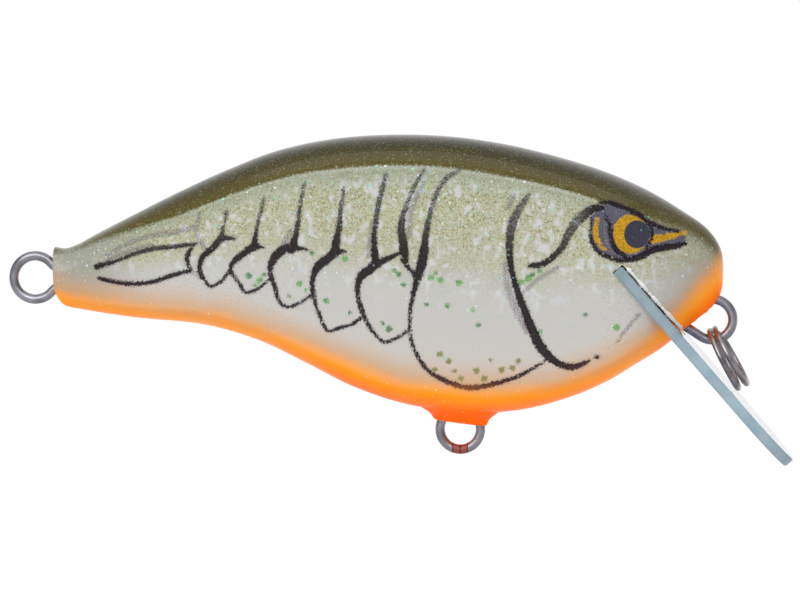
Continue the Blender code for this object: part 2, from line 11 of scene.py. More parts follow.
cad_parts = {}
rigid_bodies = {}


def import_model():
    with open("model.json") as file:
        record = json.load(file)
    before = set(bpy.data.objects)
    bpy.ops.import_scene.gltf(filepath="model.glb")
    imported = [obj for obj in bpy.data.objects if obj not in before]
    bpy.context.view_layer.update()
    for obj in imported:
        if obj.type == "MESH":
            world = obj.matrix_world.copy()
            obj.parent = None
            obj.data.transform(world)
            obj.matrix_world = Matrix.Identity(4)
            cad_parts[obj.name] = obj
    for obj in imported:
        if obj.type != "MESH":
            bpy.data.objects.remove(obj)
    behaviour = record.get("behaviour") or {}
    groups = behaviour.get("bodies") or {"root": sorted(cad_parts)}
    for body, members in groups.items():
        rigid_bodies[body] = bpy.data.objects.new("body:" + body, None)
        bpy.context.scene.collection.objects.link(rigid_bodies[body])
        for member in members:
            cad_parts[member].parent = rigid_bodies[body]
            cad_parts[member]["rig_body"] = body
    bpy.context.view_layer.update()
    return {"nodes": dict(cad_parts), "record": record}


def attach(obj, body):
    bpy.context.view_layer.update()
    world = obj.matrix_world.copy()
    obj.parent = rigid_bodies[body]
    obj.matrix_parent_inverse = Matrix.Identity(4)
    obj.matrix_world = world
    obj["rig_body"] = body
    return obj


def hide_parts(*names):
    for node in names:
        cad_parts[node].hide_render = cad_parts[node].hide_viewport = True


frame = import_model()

MM = 0.001
WHITE = (255, 255, 255)

# Body, as in the CAD: sizes, then profiles as shares of the length and of the height from the nose tip.
BODY_LENGTH = 70 * MM
BODY_HEIGHT = 28.95 * MM
BODY_WIDTH = 12 * MM
NOSE_AHEAD = 1.15 * MM
NOSE_ABOVE = 5.3 * MM
WALL = 1.2 * MM
SEAM = 0.01 * MM
SHOULDER_LEAST, SHOULDER_MOST = 0.7 * MM, 0.45
BELLY_SHOULDER_BASE = 1 * MM
BELLY_SHOULDER_RISE = 0.08
BELLY_SHOULDER_SHARE = 0.7
SHOULDER_ARC = radians(62)
BACK_LINE = [
    (0.0, 0.0), (0.002, 0.055), (0.010, 0.100), (0.026, 0.147), (0.060, 0.205), (0.110, 0.278),
    (0.170, 0.343), (0.244, 0.401), (0.320, 0.446), (0.400, 0.475), (0.484, 0.4836), (0.580, 0.469),
    (0.656, 0.432), (0.731, 0.366), (0.805, 0.287), (0.881, 0.197), (0.940, 0.125), (0.963, 0.096),
    (0.984, 0.081), (1.0, 0.0864),
]
BELLY_LINE = [
    (0.0, 0.0), (0.003, -0.0725), (0.0104, -0.1105), (0.024, -0.147), (0.049, -0.195), (0.088, -0.279),
    (0.132, -0.346), (0.170, -0.401), (0.207, -0.442), (0.244, -0.473), (0.290, -0.501), (0.364, -0.5164),
    (0.424, -0.5043), (0.468, -0.485), (0.544, -0.425), (0.618, -0.335), (0.694, -0.249), (0.768, -0.198),
    (0.881, -0.169), (0.959, -0.140), (0.990, -0.126), (1.0, -0.1036),
]
PLAN_LINE = [
    (0.0, 0.0), (0.003, 0.20), (0.012, 0.40), (0.035, 0.63), (0.075, 0.83), (0.125, 0.95), (0.180, 1.0),
    (0.620, 1.0), (0.720, 0.93), (0.820, 0.79), (0.900, 0.64), (0.960, 0.54), (1.0, 0.50),
]
# Lower edge of the dark back, along the crease, as (x, z) in millimetres from tail to nose.
CREASE_LINE = [
    (-69.7, 7.3), (-67.4, 7.3), (-63.0, 8.6), (-59.4, 9.7), (-55.1, 11.0), (-49.7, 13.0), (-42.8, 15.1),
    (-35.5, 16.0), (-28.7, 16.0), (-21.0, 14.9), (-16.0, 13.8), (-11.7, 12.5), (-7.3, 10.9), (-4.4, 9.8),
    (-1.5, 8.5), (0.2, 7.1), (0.9, 5.6),
]
FACET_START = (0.02, 0.15)
FACET_END = 0.90
FACET_AT_TAIL = 0.4
FIRST_STATION = 0.0006
NOSE_X = NOSE_AHEAD
TAIL_X = NOSE_AHEAD - BODY_LENGTH

# Fineness of the skin: stations in the nose and along the rest, and points round half a section.
NOSE_SHARE, NOSE_STATIONS, BODY_STATIONS = 0.05, 26, 250
AROUND = 150
CREASE_SOFTENING = 4
SKIN_SHARP_ANGLE = 62
TAIL_ROUNDING, TAIL_RINGS = 0.15 * MM, 4

# The tail's end: its foot leans in by the first length, its lower corner is rounded off by the second, and
# its sides are drawn in by a share of their distance from the middle.
TAIL_SLANT, TAIL_SLANT_FROM = (0.2 * MM, 0.3 * MM), 0.955
TAIL_BOW = 0.1

# Ragged paint under the chin: how far it stands out, and where it fades out along the length, down the
# section and away from the middle.
CHIN_LUMPS, CHIN_SHARE = 0.32 * MM, (-0.085, -0.05)
CHIN_DOWN, CHIN_IN = (0.62, 0.8), (-2.2 * MM, -1 * MM)
HOLLOW_SPAN = (0.03, 0.985)

# Wires, as in the CAD, but for the belly eye's small shift forward and up.
WIRE = 1 * MM
LOCK_LOOP_RADIUS = 1.5 * MM
NECK_BEND = 2 * MM
NECK_GAP = 0.6 * MM
TAIL_EYE_RADIUS = 2.28 * MM
TAIL_EYE_OUT = 2 * MM
TAIL_EYE_STATION = 0.975
BELLY_EYE_RADIUS = 2.11 * MM
BELLY_EYE_STATION = 0.393
BELLY_EYE_DROP = 0.5 * MM
BELLY_EYE_SHIFT = Vector((0.22 * MM, 0.0, 0.3 * MM))
BOSS_DROP = 1.6 * MM
LINE_EYE_RADIUS = 2.1 * MM
LINE_LOCK_RADIUS = 1.2 * MM
LINE_LOCK_REACH = 6.2 * MM
LINE_TIE_HEADING = radians(155)
WIRE_SIDES = 16
GROOVE_CLEARANCE = 0.06 * MM
CUT_END_RISE, CUT_END_SHARE = 0.3, 0.72

# A painted reflection of the orange belly on the belly eye: half its length, and the pitch of its stripes.
EYE_REFLECTION_HALF, EYE_REFLECTION_PITCH = 0.92 * MM, 0.80 * MM

# Boss under the belly: its lower outline's half length and half width, and how it flares to its root.
BOSS_SKIN_DROP = 1.12 * MM
BOSS_HALF_LENGTH = 2.85 * MM
BOSS_HALF_WIDTH = 1.6 * MM
BOSS_FLARE, BOSS_FLARE_POWER, BOSS_FLARE_LIMIT, BOSS_SIDE_FLARE = 1.25 * MM, 2.4, 1.15, 1.3
BOSS_SIDES, BOSS_OVAL_POWER = 72, 0.8
BOSS_ROOT = 0.5 * MM
BOSS_TILT = radians(7.5)
BOSS_ROUNDING = 0.3 * MM

# Lip, as in the CAD, and its slot, which the visual skin leaves a little tighter.
LIP_THICKNESS = 1.1 * MM
LIP_LENGTH = 26.7 * MM
LIP_ROOT_WIDTH = 12.8 * MM
LIP_WIDTH = 14 * MM
LIP_TIP_LENGTH = 6.7 * MM
LIP_SLOPE = radians(49.2)
LIP_ROOT = Vector((-9.54 * MM, 0.0, 5.4 * MM))
LIP_CLEARANCE = 0.1 * MM
SLOT_CLEARANCE, SLOT_LIFT, SLOT_WIDTH = 0.07 * MM, 0.05 * MM, 40 * MM
NOTCH_CLEARANCE = 0.3 * MM
LIP_EDGE_ROUNDING = 0.12 * MM
LIP_PLACE = Matrix.Translation(LIP_ROOT) @ Matrix.Rotation(LIP_SLOPE, 4, "Y")

# Glue beside the lip: where it runs from the root, its thickness and how that varies, and how it sits.
GLUE_SPAN = (0.4 * MM, 12.2 * MM)
GLUE_RADIUS, GLUE_WAVE, GLUE_ROUGHNESS = 0.17 * MM, 0.05 * MM, 0.07 * MM
GLUE_LIFT, GLUE_SINK = 0.26 * MM, 0.02 * MM

# Split ring, as in the CAD, but in thicker wire and with its crossing and ends turned to near the top.
RING_DIAMETER = 7.15 * MM
RING_WIRE = 0.55 * MM
RING_SKIN_WIRE = 0.58 * MM
RING_TWIST = radians(2.4)
RING_PITCH = 0.64 * MM
RING_SPLAY = 0.34 * MM
RING_SLOPE = radians(62)
RING_SEAT_GAP = 0.3 * MM
RING_CROSSING = 0.45
RING_END = 0.62
RING_TURNED = radians(28)
RING_SIDES = 14

# The stage: the floor, in metres, and where it brightens behind the lure; then how dim the room is on the
# camera's side, and where it fades to full brightness.
FLOOR_HEIGHT, FLOOR_REACH = -60 * MM, 3.0
BRIGHT_FROM = (0.08, 0.22)
NEAR_LIGHT, ROOM_FADE = 0.40, (0.3, 0.9)
LIGHT_TARGET = Vector((-32 * MM, 0, 4 * MM))

# The camera: where it looks, from which side, how wide its view is, and its lens and sensor.
CAMERA_TARGET = Vector((-32.35 * MM, 0.0, 2.1 * MM))
CAMERA_AZIMUTH = radians(5.5)
CAMERA_ELEVATION = radians(2.5)
CAMERA_ROLL = radians(0.4)
VIEW_WIDTH = 83.25 * MM
LENS, SENSOR = 150.0, 36.0


def clear_defaults():
    for name in ("Cube", "Light", "Camera"):
        obj = bpy.data.objects.get(name)
        if obj and "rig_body" not in obj:
            bpy.data.objects.remove(obj, do_unlink=True)


clear_defaults()


# ---- profiles


def smooth_line(points, per_span=24):
    """A smooth curve through the points, with tangents from their neighbours by chord length."""
    p = np.array(points, float)
    t = np.concatenate([[0.0], np.cumsum(np.linalg.norm(np.diff(p[:, :2], axis=0), axis=1))])
    m = np.gradient(p, t, axis=0)
    curve = []
    for i in range(len(p) - 1):
        h = t[i + 1] - t[i]
        for s in np.linspace(0, 1, per_span, endpoint=False):
            a, b = 2 * s**3 - 3 * s**2 + 1, s**3 - 2 * s**2 + s
            c, d = 3 * s**2 - 2 * s**3, s**3 - s**2
            curve.append(a * p[i] + b * h * m[i] + c * p[i + 1] + d * h * m[i + 1])
    curve.append(p[-1])
    return np.array(curve)


BACK, BELLY, PLAN = smooth_line(BACK_LINE).T, smooth_line(BELLY_LINE).T, smooth_line(PLAN_LINE).T
CREASE = smooth_line(CREASE_LINE, 8).T


def station_x(u):
    return NOSE_X - u * BODY_LENGTH


def back_z(u):
    return NOSE_ABOVE + BODY_HEIGHT * np.interp(u, *BACK)


def belly_z(u):
    return NOSE_ABOVE + BODY_HEIGHT * np.interp(u, *BELLY)


def half_width(u):
    return BODY_WIDTH / 2 * np.minimum(1.0, np.interp(u, *PLAN))


def smoothstep(x, low, high):
    t = np.clip((x - low) / (high - low), 0, 1)
    return t * t * (3 - 2 * t)


def facet_share(u):
    """1 where the side is a flat facet, less where the section turns round."""
    return smoothstep(u, *FACET_START) * (1 - (1 - FACET_AT_TAIL) * smoothstep(u, FACET_END, 1.0))


def shoulders(u, inset=0.0):
    """Heights of the back's and the belly's rounded shoulder at u. The back's ends at the crease."""
    tall = back_z(u) - belly_z(u) - 2 * inset
    crease = np.interp(station_x(u), *(MM * CREASE))
    back = np.clip(back_z(u) - crease - inset, SHOULDER_LEAST, SHOULDER_MOST * tall)
    belly = np.minimum(BELLY_SHOULDER_BASE + BELLY_SHOULDER_RISE * tall, SHOULDER_MOST * tall)
    return back, belly * BELLY_SHOULDER_SHARE


def half_section(u, inset, steps):
    """(y, z) points of one side of the section at u, evenly spaced from the back's middle to the belly's."""
    top, bottom, wide = back_z(u) - inset, belly_z(u) + inset, half_width(u) - inset
    tall = top - bottom
    back, belly = shoulders(u, inset)
    full = 1 - cos(SHOULDER_ARC)
    arc = np.linspace(0, SHOULDER_ARC, 24)
    heights = [
        top - back * (1 - np.cos(arc)) / full,
        np.linspace(top - back, bottom + belly, 60)[1:-1],
        (bottom + belly * (1 - np.cos(arc)) / full)[::-1],
    ]
    z = np.concatenate(heights)
    angle_back = np.arccos(np.clip(1 - np.maximum(0, top - z) / back * full, -1, 1))
    angle_belly = np.arccos(np.clip(1 - np.maximum(0, z - bottom) / belly * full, -1, 1))
    angle = np.minimum(np.minimum(angle_back, angle_belly), SHOULDER_ARC)
    flat = np.sin(angle) / sin(SHOULDER_ARC)
    oval = np.sqrt(np.maximum(0, 1 - (2 * (z - bottom) / tall - 1) ** 2))
    share = facet_share(u)
    y = wide * (share * flat + (1 - share) * oval)
    length = np.concatenate([[0], np.cumsum(np.hypot(np.diff(y), np.diff(z)))])
    even = np.linspace(0, length[-1], steps)
    y, z = np.interp(even, length, y), np.interp(even, length, z)
    for _ in range(CREASE_SOFTENING if inset == 0 else 0):
        y[1:-1] = (y[:-2] + 2 * y[1:-1] + y[2:]) / 4
        z[1:-1] = (z[:-2] + 2 * z[1:-1] + z[2:]) / 4
    return y, z


# ---- mesh helpers


def link(name, data):
    obj = bpy.data.objects.new(name, data)
    bpy.context.scene.collection.objects.link(obj)
    return obj


def linked(name, bm):
    """A new object made of the bmesh, which is freed."""
    mesh = bpy.data.meshes.new(name)
    bm.to_mesh(mesh)
    bm.free()
    return link(name, mesh)


def from_grid(name, loops, close_ends=True):
    """A surface through rings of points, each ring cyclic, with its ends closed or left open."""
    bm = bmesh.new()
    rings = [[bm.verts.new(p) for p in ring] for ring in loops]
    for one, other in zip(rings, rings[1:]):
        for j in range(len(one)):
            k = (j + 1) % len(one)
            bm.faces.new((one[j], one[k], other[k], other[j]))
    if close_ends:
        bm.faces.new(rings[0])
        bm.faces.new(rings[-1])
    bmesh.ops.recalc_face_normals(bm, faces=bm.faces)
    return linked(name, bm)


def applied(obj, cutters, operation="DIFFERENCE", keep=False):
    """obj with the cutters' Booleans applied; the cutters are removed unless kept."""
    for cutter in cutters:
        modifier = obj.modifiers.new(cutter.name, "BOOLEAN")
        modifier.operation = operation
        modifier.solver = "MANIFOLD"
        modifier.object = cutter
    bpy.context.view_layer.update()
    graph = bpy.context.evaluated_depsgraph_get()
    mesh = bpy.data.meshes.new_from_object(obj.evaluated_get(graph))
    obj.modifiers.clear()
    obj.data = mesh
    if not keep:
        for cutter in cutters:
            bpy.data.objects.remove(cutter, do_unlink=True)
    return obj


def shade(obj, angle=35):
    obj.data.shade_smooth()
    obj.data.set_sharp_from_angle(angle=radians(angle))
    return obj


def arc_points(centre, radius, start, end, steps):
    angles = np.linspace(start, end, steps + 1)
    return [(centre[0] + radius * cos(a), centre[1] + radius * sin(a)) for a in angles]


def tube(name, path, radius, closed, sides=WIRE_SIDES, wobble=0.0, seed=1):
    """A round wire along the path. Wobble varies its thickness a little, as in bent wire."""
    phase = np.random.default_rng(seed).uniform(0, tau, 2)
    pts = [Vector(p) for p in path]
    count = len(pts)
    loops = []
    side = None
    for i, p in enumerate(pts):
        after = pts[(i + 1) % count] if closed or i < count - 1 else p
        before = pts[i - 1] if closed or i else p
        along = (after - before).normalized()
        if side is None:
            side = along.cross(Vector((0, 1, 0)))
            side = side if side.length > 0.1 else along.cross(Vector((0, 0, 1)))
        side = (side - along * side.dot(along)).normalized()
        up = along.cross(side)
        turn = tau * i / count
        swell = wobble * (sin(2 * turn + phase[0]) + sin(5 * turn + phase[1])) / 2
        r = radius * (1 + swell)
        angles = [tau * k / sides for k in range(sides)]
        loops.append([p + r * (cos(a) * side + sin(a) * up) for a in angles])
    if closed:
        return shade(from_grid(name, loops + [loops[0]], close_ends=False), 60)
    # Rounded ends, where the wire was cut and tumbled.
    caps = []
    for near, inner, loop in ((pts[0], pts[1], loops[0]), (pts[-1], pts[-2], loops[-1])):
        out = (near - inner).normalized() * radius * CUT_END_RISE
        caps.append([near + out + (q - near) * CUT_END_SHARE for q in loop])
    return shade(from_grid(name, [caps[0]] + loops + [caps[1]]), 60)


def weld(obj, distance=0.0005 * MM):
    bm = bmesh.new()
    bm.from_mesh(obj.data)
    bmesh.ops.remove_doubles(bm, verts=bm.verts, dist=distance)
    bm.to_mesh(obj.data)
    bm.free()
    return obj


# ---- node helpers


def srgb(*display):
    """0 to 255 display values, as the linear colour that nodes take."""
    shares = [c / 255 for c in display]
    return [c / 12.92 if c <= 0.04045 else ((c + 0.055) / 1.055) ** 2.4 for c in shares] + [1.0]


def by(operation):
    """A method that makes a Math node of two values."""
    return lambda one, other: one.nodes.math(operation, one, other)


class Value:
    """A node's output, which can be added, multiplied and compared as a number is."""

    def __init__(self, nodes, socket):
        self.nodes, self.socket = nodes, socket

    def other(self, output):
        """Another output of the same node."""
        return Value(self.nodes, self.socket.node.outputs[output])

    def __rsub__(self, value):
        return self.nodes.math("SUBTRACT", value, self)

    def __abs__(self):
        return self.nodes.math("ABSOLUTE", self)

    __add__, __sub__, __mul__ = by("ADD"), by("SUBTRACT"), by("MULTIPLY")
    __truediv__, __gt__, __lt__ = by("DIVIDE"), by("GREATER_THAN"), by("LESS_THAN")


class Nodes:
    """Builds one node tree. Values are numbers, 0 to 255 colours or other nodes' outputs."""

    def __init__(self, owner, shader, coordinates, **sockets):
        owner.use_nodes = True
        self.owner, self.tree = owner, owner.node_tree
        self.shader = self.tree.nodes[shader]
        self.place = self.node("TexCoord", {}, coordinates)
        self.set(**sockets)

    def feed(self, socket, value):
        if isinstance(value, Value):
            self.tree.links.new(value.socket, socket)
        elif socket.type == "RGBA":
            socket.default_value = srgb(*value)
        else:
            socket.default_value = value

    def set(self, **sockets):
        for name, value in sockets.items():
            self.feed(self.shader.inputs[name.replace("_", " ")], value)

    def node(self, kind, inputs, output=0, **settings):
        """A new node with its inputs fed and its settings made; gives one of its outputs."""
        node = self.tree.nodes.new("ShaderNode" + kind)
        for name, value in settings.items():
            setattr(node, name, value)
        for key, value in inputs.items():
            self.feed(node.inputs[key], value)
        return Value(self, node.outputs[output])

    def attribute(self, name):
        return self.node("Attribute", {}, "Fac", attribute_name=name)

    def math(self, operation, *values):
        return self.node("Math", dict(enumerate(values)), operation=operation)

    def mix(self, share, one, other):
        return self.node("Mix", {0: share, 6: one, 7: other}, 2, data_type="RGBA")

    def layers(self, base, *layers):
        """The base colour with each (share, colour) laid over it in turn."""
        for share, colour in layers:
            base = self.mix(share, base, colour)
        return base

    def step(self, value, low, high, ends=(0.0, 1.0)):
        """The first end below low, the second above high, smooth between; low may be the larger."""
        if low > high:
            low, high, ends = high, low, ends[::-1]
        inputs = {0: value, 1: low, 2: high, 3: ends[0], 4: ends[1]}
        return self.node("MapRange", inputs, interpolation_type="SMOOTHSTEP")

    def ramp(self, value, stops, interpolation="LINEAR"):
        result = self.node("ValToRGB", {0: value})
        band = result.socket.node.color_ramp
        band.interpolation = interpolation
        while len(band.elements) < len(stops):
            band.elements.new(0.5)
        for element, (at, colour) in zip(band.elements, stops):
            element.position, element.color = at, srgb(*colour)
        return result

    def scaled(self, factors):
        return self.node("Mapping", {"Vector": self.place, "Scale": factors})

    def noise(self, size, detail=2.0, vector=None, roughness=0.5):
        """Noise whose features are about size across, in metres."""
        inputs = {"Vector": vector or self.place, "Scale": 1 / size, "Detail": detail, "Roughness": roughness}
        return self.node("TexNoise", inputs)

    def cells(self, size):
        """Voronoi cells about size across: distance from the middle, and the cell's three random numbers."""
        distance = self.node("TexVoronoi", {"Vector": self.place, "Scale": 1 / size}, "Distance")
        return distance, *self.parts("Color", distance.other("Color"))

    def parts(self, kind, value):
        """The three parts of a colour (Color) or a place (XYZ)."""
        first = self.node("Separate" + kind, {0: value})
        return [first.other(i) for i in range(3)]

    def bump(self, height, strength, distance):
        return self.node("Bump", {"Strength": strength, "Distance": distance, "Height": height})


def material_nodes(name, **sockets):
    return Nodes(bpy.data.materials.new(name), "Principled BSDF", "Object", **sockets)


# ---- painted pattern

# Each stroke is a list of (x, z, width) in millimetres on the side.
INK = [
    # tail fan
    [(-63.6, 5.8, 0.55), (-63.0, 6.0, 0.45), (-62.1, 6.2, 0.3), (-59.4, 7.2, 0.35), (-57.3, 7.7, 0.4),
     (-55.1, 7.9, 0.35), (-52.9, 8.2, 0.2)],
    [(-63.4, 4.6, 0.28), (-61.0, 4.1, 0.38), (-57.9, 4.2, 0.34), (-54.9, 5.1, 0.36), (-53.6, 5.4, 0.26)],
    [(-53.3, 8.0, 0.25), (-53.9, 6.7, 0.4), (-53.5, 5.4, 0.2)],
    # first segment and its spike
    [(-48.8, 8.7, 0.15), (-50.2, 8.7, 0.6), (-51.1, 7.8, 0.6), (-52.3, 6.7, 0.5), (-52.5, 5.1, 0.4),
     (-52.0, 4.4, 0.3), (-51.5, 3.8, 0.25), (-50.6, 4.1, 0.22), (-49.3, 5.5, 0.2)],
    [(-50.3, 8.6, 0.6), (-50.0, 10.0, 0.2), (-49.6, 11.6, 0.22)],
    # second
    [(-45.9, 7.8, 0.15), (-46.7, 7.9, 0.6), (-47.6, 7.4, 0.65), (-49.3, 5.6, 0.35), (-48.3, 4.0, 0.25),
     (-47.8, 3.2, 0.25), (-46.7, 3.4, 0.22), (-45.3, 4.5, 0.15)],
    [(-46.8, 7.8, 0.7), (-46.6, 9.3, 0.3), (-46.2, 11.0, 0.26), (-45.7, 12.9, 0.2)],
    # third
    [(-41.2, 7.5, 0.12), (-42.2, 7.7, 0.4), (-43.2, 7.8, 0.7), (-44.7, 6.7, 0.8), (-45.1, 5.9, 0.55),
     (-44.7, 3.8, 0.35), (-43.9, 1.9, 0.25), (-43.3, 1.7, 0.22), (-42.3, 2.0, 0.22), (-40.9, 2.9, 0.2)],
    [(-42.9, 7.6, 0.9), (-42.4, 9.3, 0.45), (-42.0, 11.9, 0.3), (-41.5, 14.4, 0.22)],
    # fourth
    [(-37.3, 7.3, 0.12), (-38.2, 7.3, 0.6), (-39.2, 6.6, 0.8), (-40.2, 5.8, 0.8), (-40.7, 4.7, 0.5),
     (-40.6, 2.5, 0.35), (-39.9, 0.4, 0.26), (-39.2, -0.8, 0.22), (-38.1, -0.5, 0.22), (-36.7, -0.1, 0.22),
     (-35.7, 0.6, 0.22)],
    [(-38.5, 7.2, 0.9), (-38.1, 9.2, 0.6), (-37.8, 11.4, 0.4), (-37.5, 13.8, 0.22)],
    # fifth, with its two spikes
    [(-31.9, 7.1, 0.3), (-33.8, 6.2, 0.6), (-35.0, 5.4, 0.9), (-35.9, 4.6, 0.7), (-36.1, 3.9, 0.5),
     (-35.6, 1.0, 0.4), (-34.3, -1.2, 0.25), (-33.5, -1.9, 0.25), (-32.1, -1.5, 0.2), (-30.9, -0.7, 0.2)],
    [(-34.2, 6.1, 0.9), (-34.4, 8.0, 0.5), (-34.2, 10.4, 0.4), (-33.8, 12.6, 0.42), (-33.1, 15.2, 0.28)],
    [(-31.2, 6.3, 0.6), (-31.4, 8.1, 0.85), (-31.6, 9.9, 0.65), (-31.2, 11.6, 0.4), (-30.4, 13.6, 0.32),
     (-29.2, 15.7, 0.2)],
    [(-31.5, 6.4, 0.34), (-30.5, 5.2, 0.34), (-30.0, 4.5, 0.4)],
    # carapace
    [(-25.6, 15.6, 0.2), (-26.8, 14.9, 0.36), (-27.6, 13.9, 0.35), (-28.5, 11.6, 0.35), (-29.1, 8.9, 0.6),
     (-29.4, 6.6, 0.9), (-29.9, 4.8, 0.75), (-30.3, 3.4, 0.45), (-30.8, -0.2, 0.25), (-30.6, -1.9, 0.25),
     (-30.0, -3.4, 0.3), (-28.8, -5.0, 0.35), (-27.2, -5.9, 0.42), (-25.2, -6.6, 0.44), (-22.0, -6.2, 0.42),
     (-19.6, -5.4, 0.27), (-17.1, -4.0, 0.16)],
    # gill cover
    [(-18.5, 13.1, 0.2), (-19.4, 11.8, 0.6), (-20.2, 10.2, 0.75), (-20.5, 8.4, 0.7), (-20.5, 6.6, 0.55),
     (-19.7, 3.1, 0.6), (-18.9, 0.9, 0.75), (-18.2, -0.9, 0.9), (-17.3, -2.6, 0.9), (-16.4, -3.6, 0.75),
     (-15.3, -4.3, 0.6), (-14.3, -4.5, 0.65), (-13.1, -4.2, 0.4), (-12.4, -3.8, 0.15)],
    [(-11.7, -3.5, 0.3), (-11.6, -3.5, 0.3)],
    # cheek
    [(-11.1, 11.7, 0.5), (-12.2, 11.5, 0.75), (-12.9, 11.0, 0.9), (-13.5, 10.5, 0.95), (-14.5, 9.0, 0.7),
     (-15.1, 7.8, 0.6), (-15.9, 6.9, 0.55), (-17.2, 6.0, 0.5), (-18.5, 5.8, 0.35)],
    # round the eye and along the beak
    [(-12.2, 8.4, 0.3), (-11.7, 7.4, 0.35), (-10.5, 6.7, 0.35), (-9.3, 6.3, 0.4), (-8.2, 6.4, 0.5),
     (-7.1, 6.75, 0.6), (-6.2, 7.25, 0.62), (-4.4, 7.65, 0.6), (-3.3, 7.8, 0.5), (-2.7, 7.95, 0.3)],
    [(-10.8, 10.9, 0.15), (-10.3, 9.8, 0.35), (-10.2, 8.6, 0.42), (-9.7, 7.4, 0.45), (-8.7, 6.7, 0.35)],
    [(-10.3, 12.1, 0.3), (-8.0, 11.3, 0.35), (-7.0, 10.7, 0.35), (-6.2, 9.7, 0.3), (-6.1, 8.6, 0.25),
     (-6.6, 7.6, 0.25)],
    [(-11.4, 12.2, 0.2), (-10.2, 12.2, 0.34), (-8.0, 11.2, 0.32), (-6.1, 10.1, 0.32), (-5.0, 9.6, 0.3),
     (-3.4, 9.2, 0.2)],
    [(-12.1, 10.7, 0.15), (-12.3, 9.4, 0.25), (-12.2, 8.2, 0.3)],
]
FAINT = [
    [(-62.6, 6.9, 0.2), (-60.4, 8.1, 0.3), (-58.2, 8.9, 0.32), (-54.6, 9.5, 0.3), (-52.9, 10.0, 0.2)],
    [(-62.4, 6.5, 0.2), (-60.0, 7.5, 0.25), (-57.6, 8.1, 0.2)],
    [(-52.5, 11.3, 0.15), (-52.8, 9.0, 0.25), (-52.0, 7.7, 0.2)],
    [(-53.4, 5.3, 0.15), (-52.5, 4.7, 0.18)],
    [(-35.0, 6.9, 0.3), (-34.8, 8.5, 0.3), (-34.6, 10.4, 0.1)],
    [(-30.8, 8.9, 0.35), (-30.6, 11.3, 0.3), (-29.3, 14.3, 0.15)],
    [(-21.0, 6.2, 0.2), (-20.8, 3.9, 0.4), (-19.9, 1.4, 0.5), (-18.7, -0.8, 0.5)],
    [(-19.3, 3.0, 0.1), (-17.4, 4.6, 0.22), (-15.5, 5.7, 0.12)],
    [(-7.4, 0.8, 0.12), (-9.0, -1.1, 0.12), (-9.6, -2.0, 0.06)],
    [(-20.1, 12.9, 0.4), (-20.6, 11.7, 0.2)],
    [(-43.6, 8.3, 0.5), (-43.0, 9.5, 0.25)],
]
GOLD = [
    [(-11.6, 10.6, 0.35), (-11.8, 9.2, 0.6), (-11.4, 8.0, 0.5), (-10.8, 7.4, 0.3)],
    [(-5.95, 8.4, 0.85), (-4.6, 8.65, 0.68), (-3.4, 8.92, 0.52), (-2.6, 9.1, 0.3)],
]
BONE = [
    [(-10.7, 10.7, 0.12), (-10.8, 9.6, 0.14), (-10.7, 8.4, 0.14), (-10.0, 7.2, 0.12), (-9.2, 6.7, 0.08)],
]
IRIS_CENTRE, IRIS_SIZE = (-8.25, 8.98), (1.78, 1.98)
PUPIL_CENTRE, PUPIL_SIZE = (-7.58, 8.96), (1.29, 1.42)
MASK = [
    (-12.2, 8.3), (-12.3, 10.0), (-12.1, 10.9), (-11.3, 11.9), (-10.3, 12.1), (-8.0, 11.2), (-6.1, 10.0),
    (-3.4, 9.2), (-2.7, 8.8), (-2.6, 7.8), (-4.4, 7.7), (-6.2, 7.2), (-8.2, 6.4), (-9.3, 6.3), (-10.5, 6.7),
    (-11.7, 7.3),
]
DOTS = [
    (-40.8, 7.2), (-37.4, 6.6), (-32.4, 5.4), (-31.9, 5.0), (-31.4, 3.9), (-28.1, 5.1), (-28.6, 4.6),
    (-27.6, 4.4), (-25.7, 4.1), (-29.1, 1.9), (-26.9, 1.8), (-24.4, 1.3), (-23.8, -0.2), (-26.8, -3.9),
    (-28.3, -4.8), (-26.3, -4.9), (-24.0, -4.9), (-21.4, -4.8), (-22.6, -3.8), (-20.3, -4.6), (-19.7, -3.9),
    (-27.7, -3.2), (-25.6, -5.7), (-23.2, -5.7), (-47.4, 4.9), (-45.9, 5.0), (-46.3, 4.4), (-46.8, 3.9),
    (-42.1, 4.1), (-41.5, 3.4), (-43.3, 2.8), (-39.4, 2.3), (-37.0, 1.0), (-33.6, 0.0), (-32.9, -0.6),
    (-19.4, 4.1), (-18.6, 4.5), (-18.3, 4.9), (-17.5, 5.3), (-17.5, -0.9), (-12.9, 0.8), (-9.7, -0.5),
]
# Upper edge of the orange, (x, z) in millimetres from tail to nose.
ORANGE_LINE = [
    (-69.1, 3.1), (-66.2, 2.0), (-58.7, 1.0), (-53.7, 0.5), (-49.8, -0.1), (-44.7, -1.7), (-37.8, -4.5),
    (-31.9, -6.6), (-27.1, -7.3), (-20.9, -7.6), (-16.2, -7.0), (-11.5, -5.5), (-7.4, -3.5), (-4.5, -0.9),
    (-2.2, 1.4), (-0.3, 3.2), (0.8, 4.6),
]
# How wide the dark back's lower edge is, along x, as a multiple of the crisp edge in the middle.
CREASE_SOFTNESS = [
    (-69.0, 3.0), (-62.0, 4.0), (-55.0, 1.5), (-50.0, 1.0), (-12.0, 1.0), (-7.0, 3.0), (-3.0, 8.0),
]
# Where the painted reflection below the crease, the nose, the tail and the head fade in, along x, and the
# dots' widths, in millimetres.
REFLECTION_BAND_MIDDLE, REFLECTION_BAND_REACH = -31.0, 24.0
NOSE_FADE, TAIL_FADE, HEAD_FADE = (-9.0, 0.5), (57.0, 66.0), (-14.0, -12.0)
DOT_WIDTH, DOT_VARIATION, DOT_LENGTH, DOT_END_WIDTH = 0.52, 0.18, 0.08, 0.44
# Distances stop at the first length, and faint strokes are widened by the second.
FAR_FROM_STROKES, FAINT_GROWTH = 2.0, 0.10


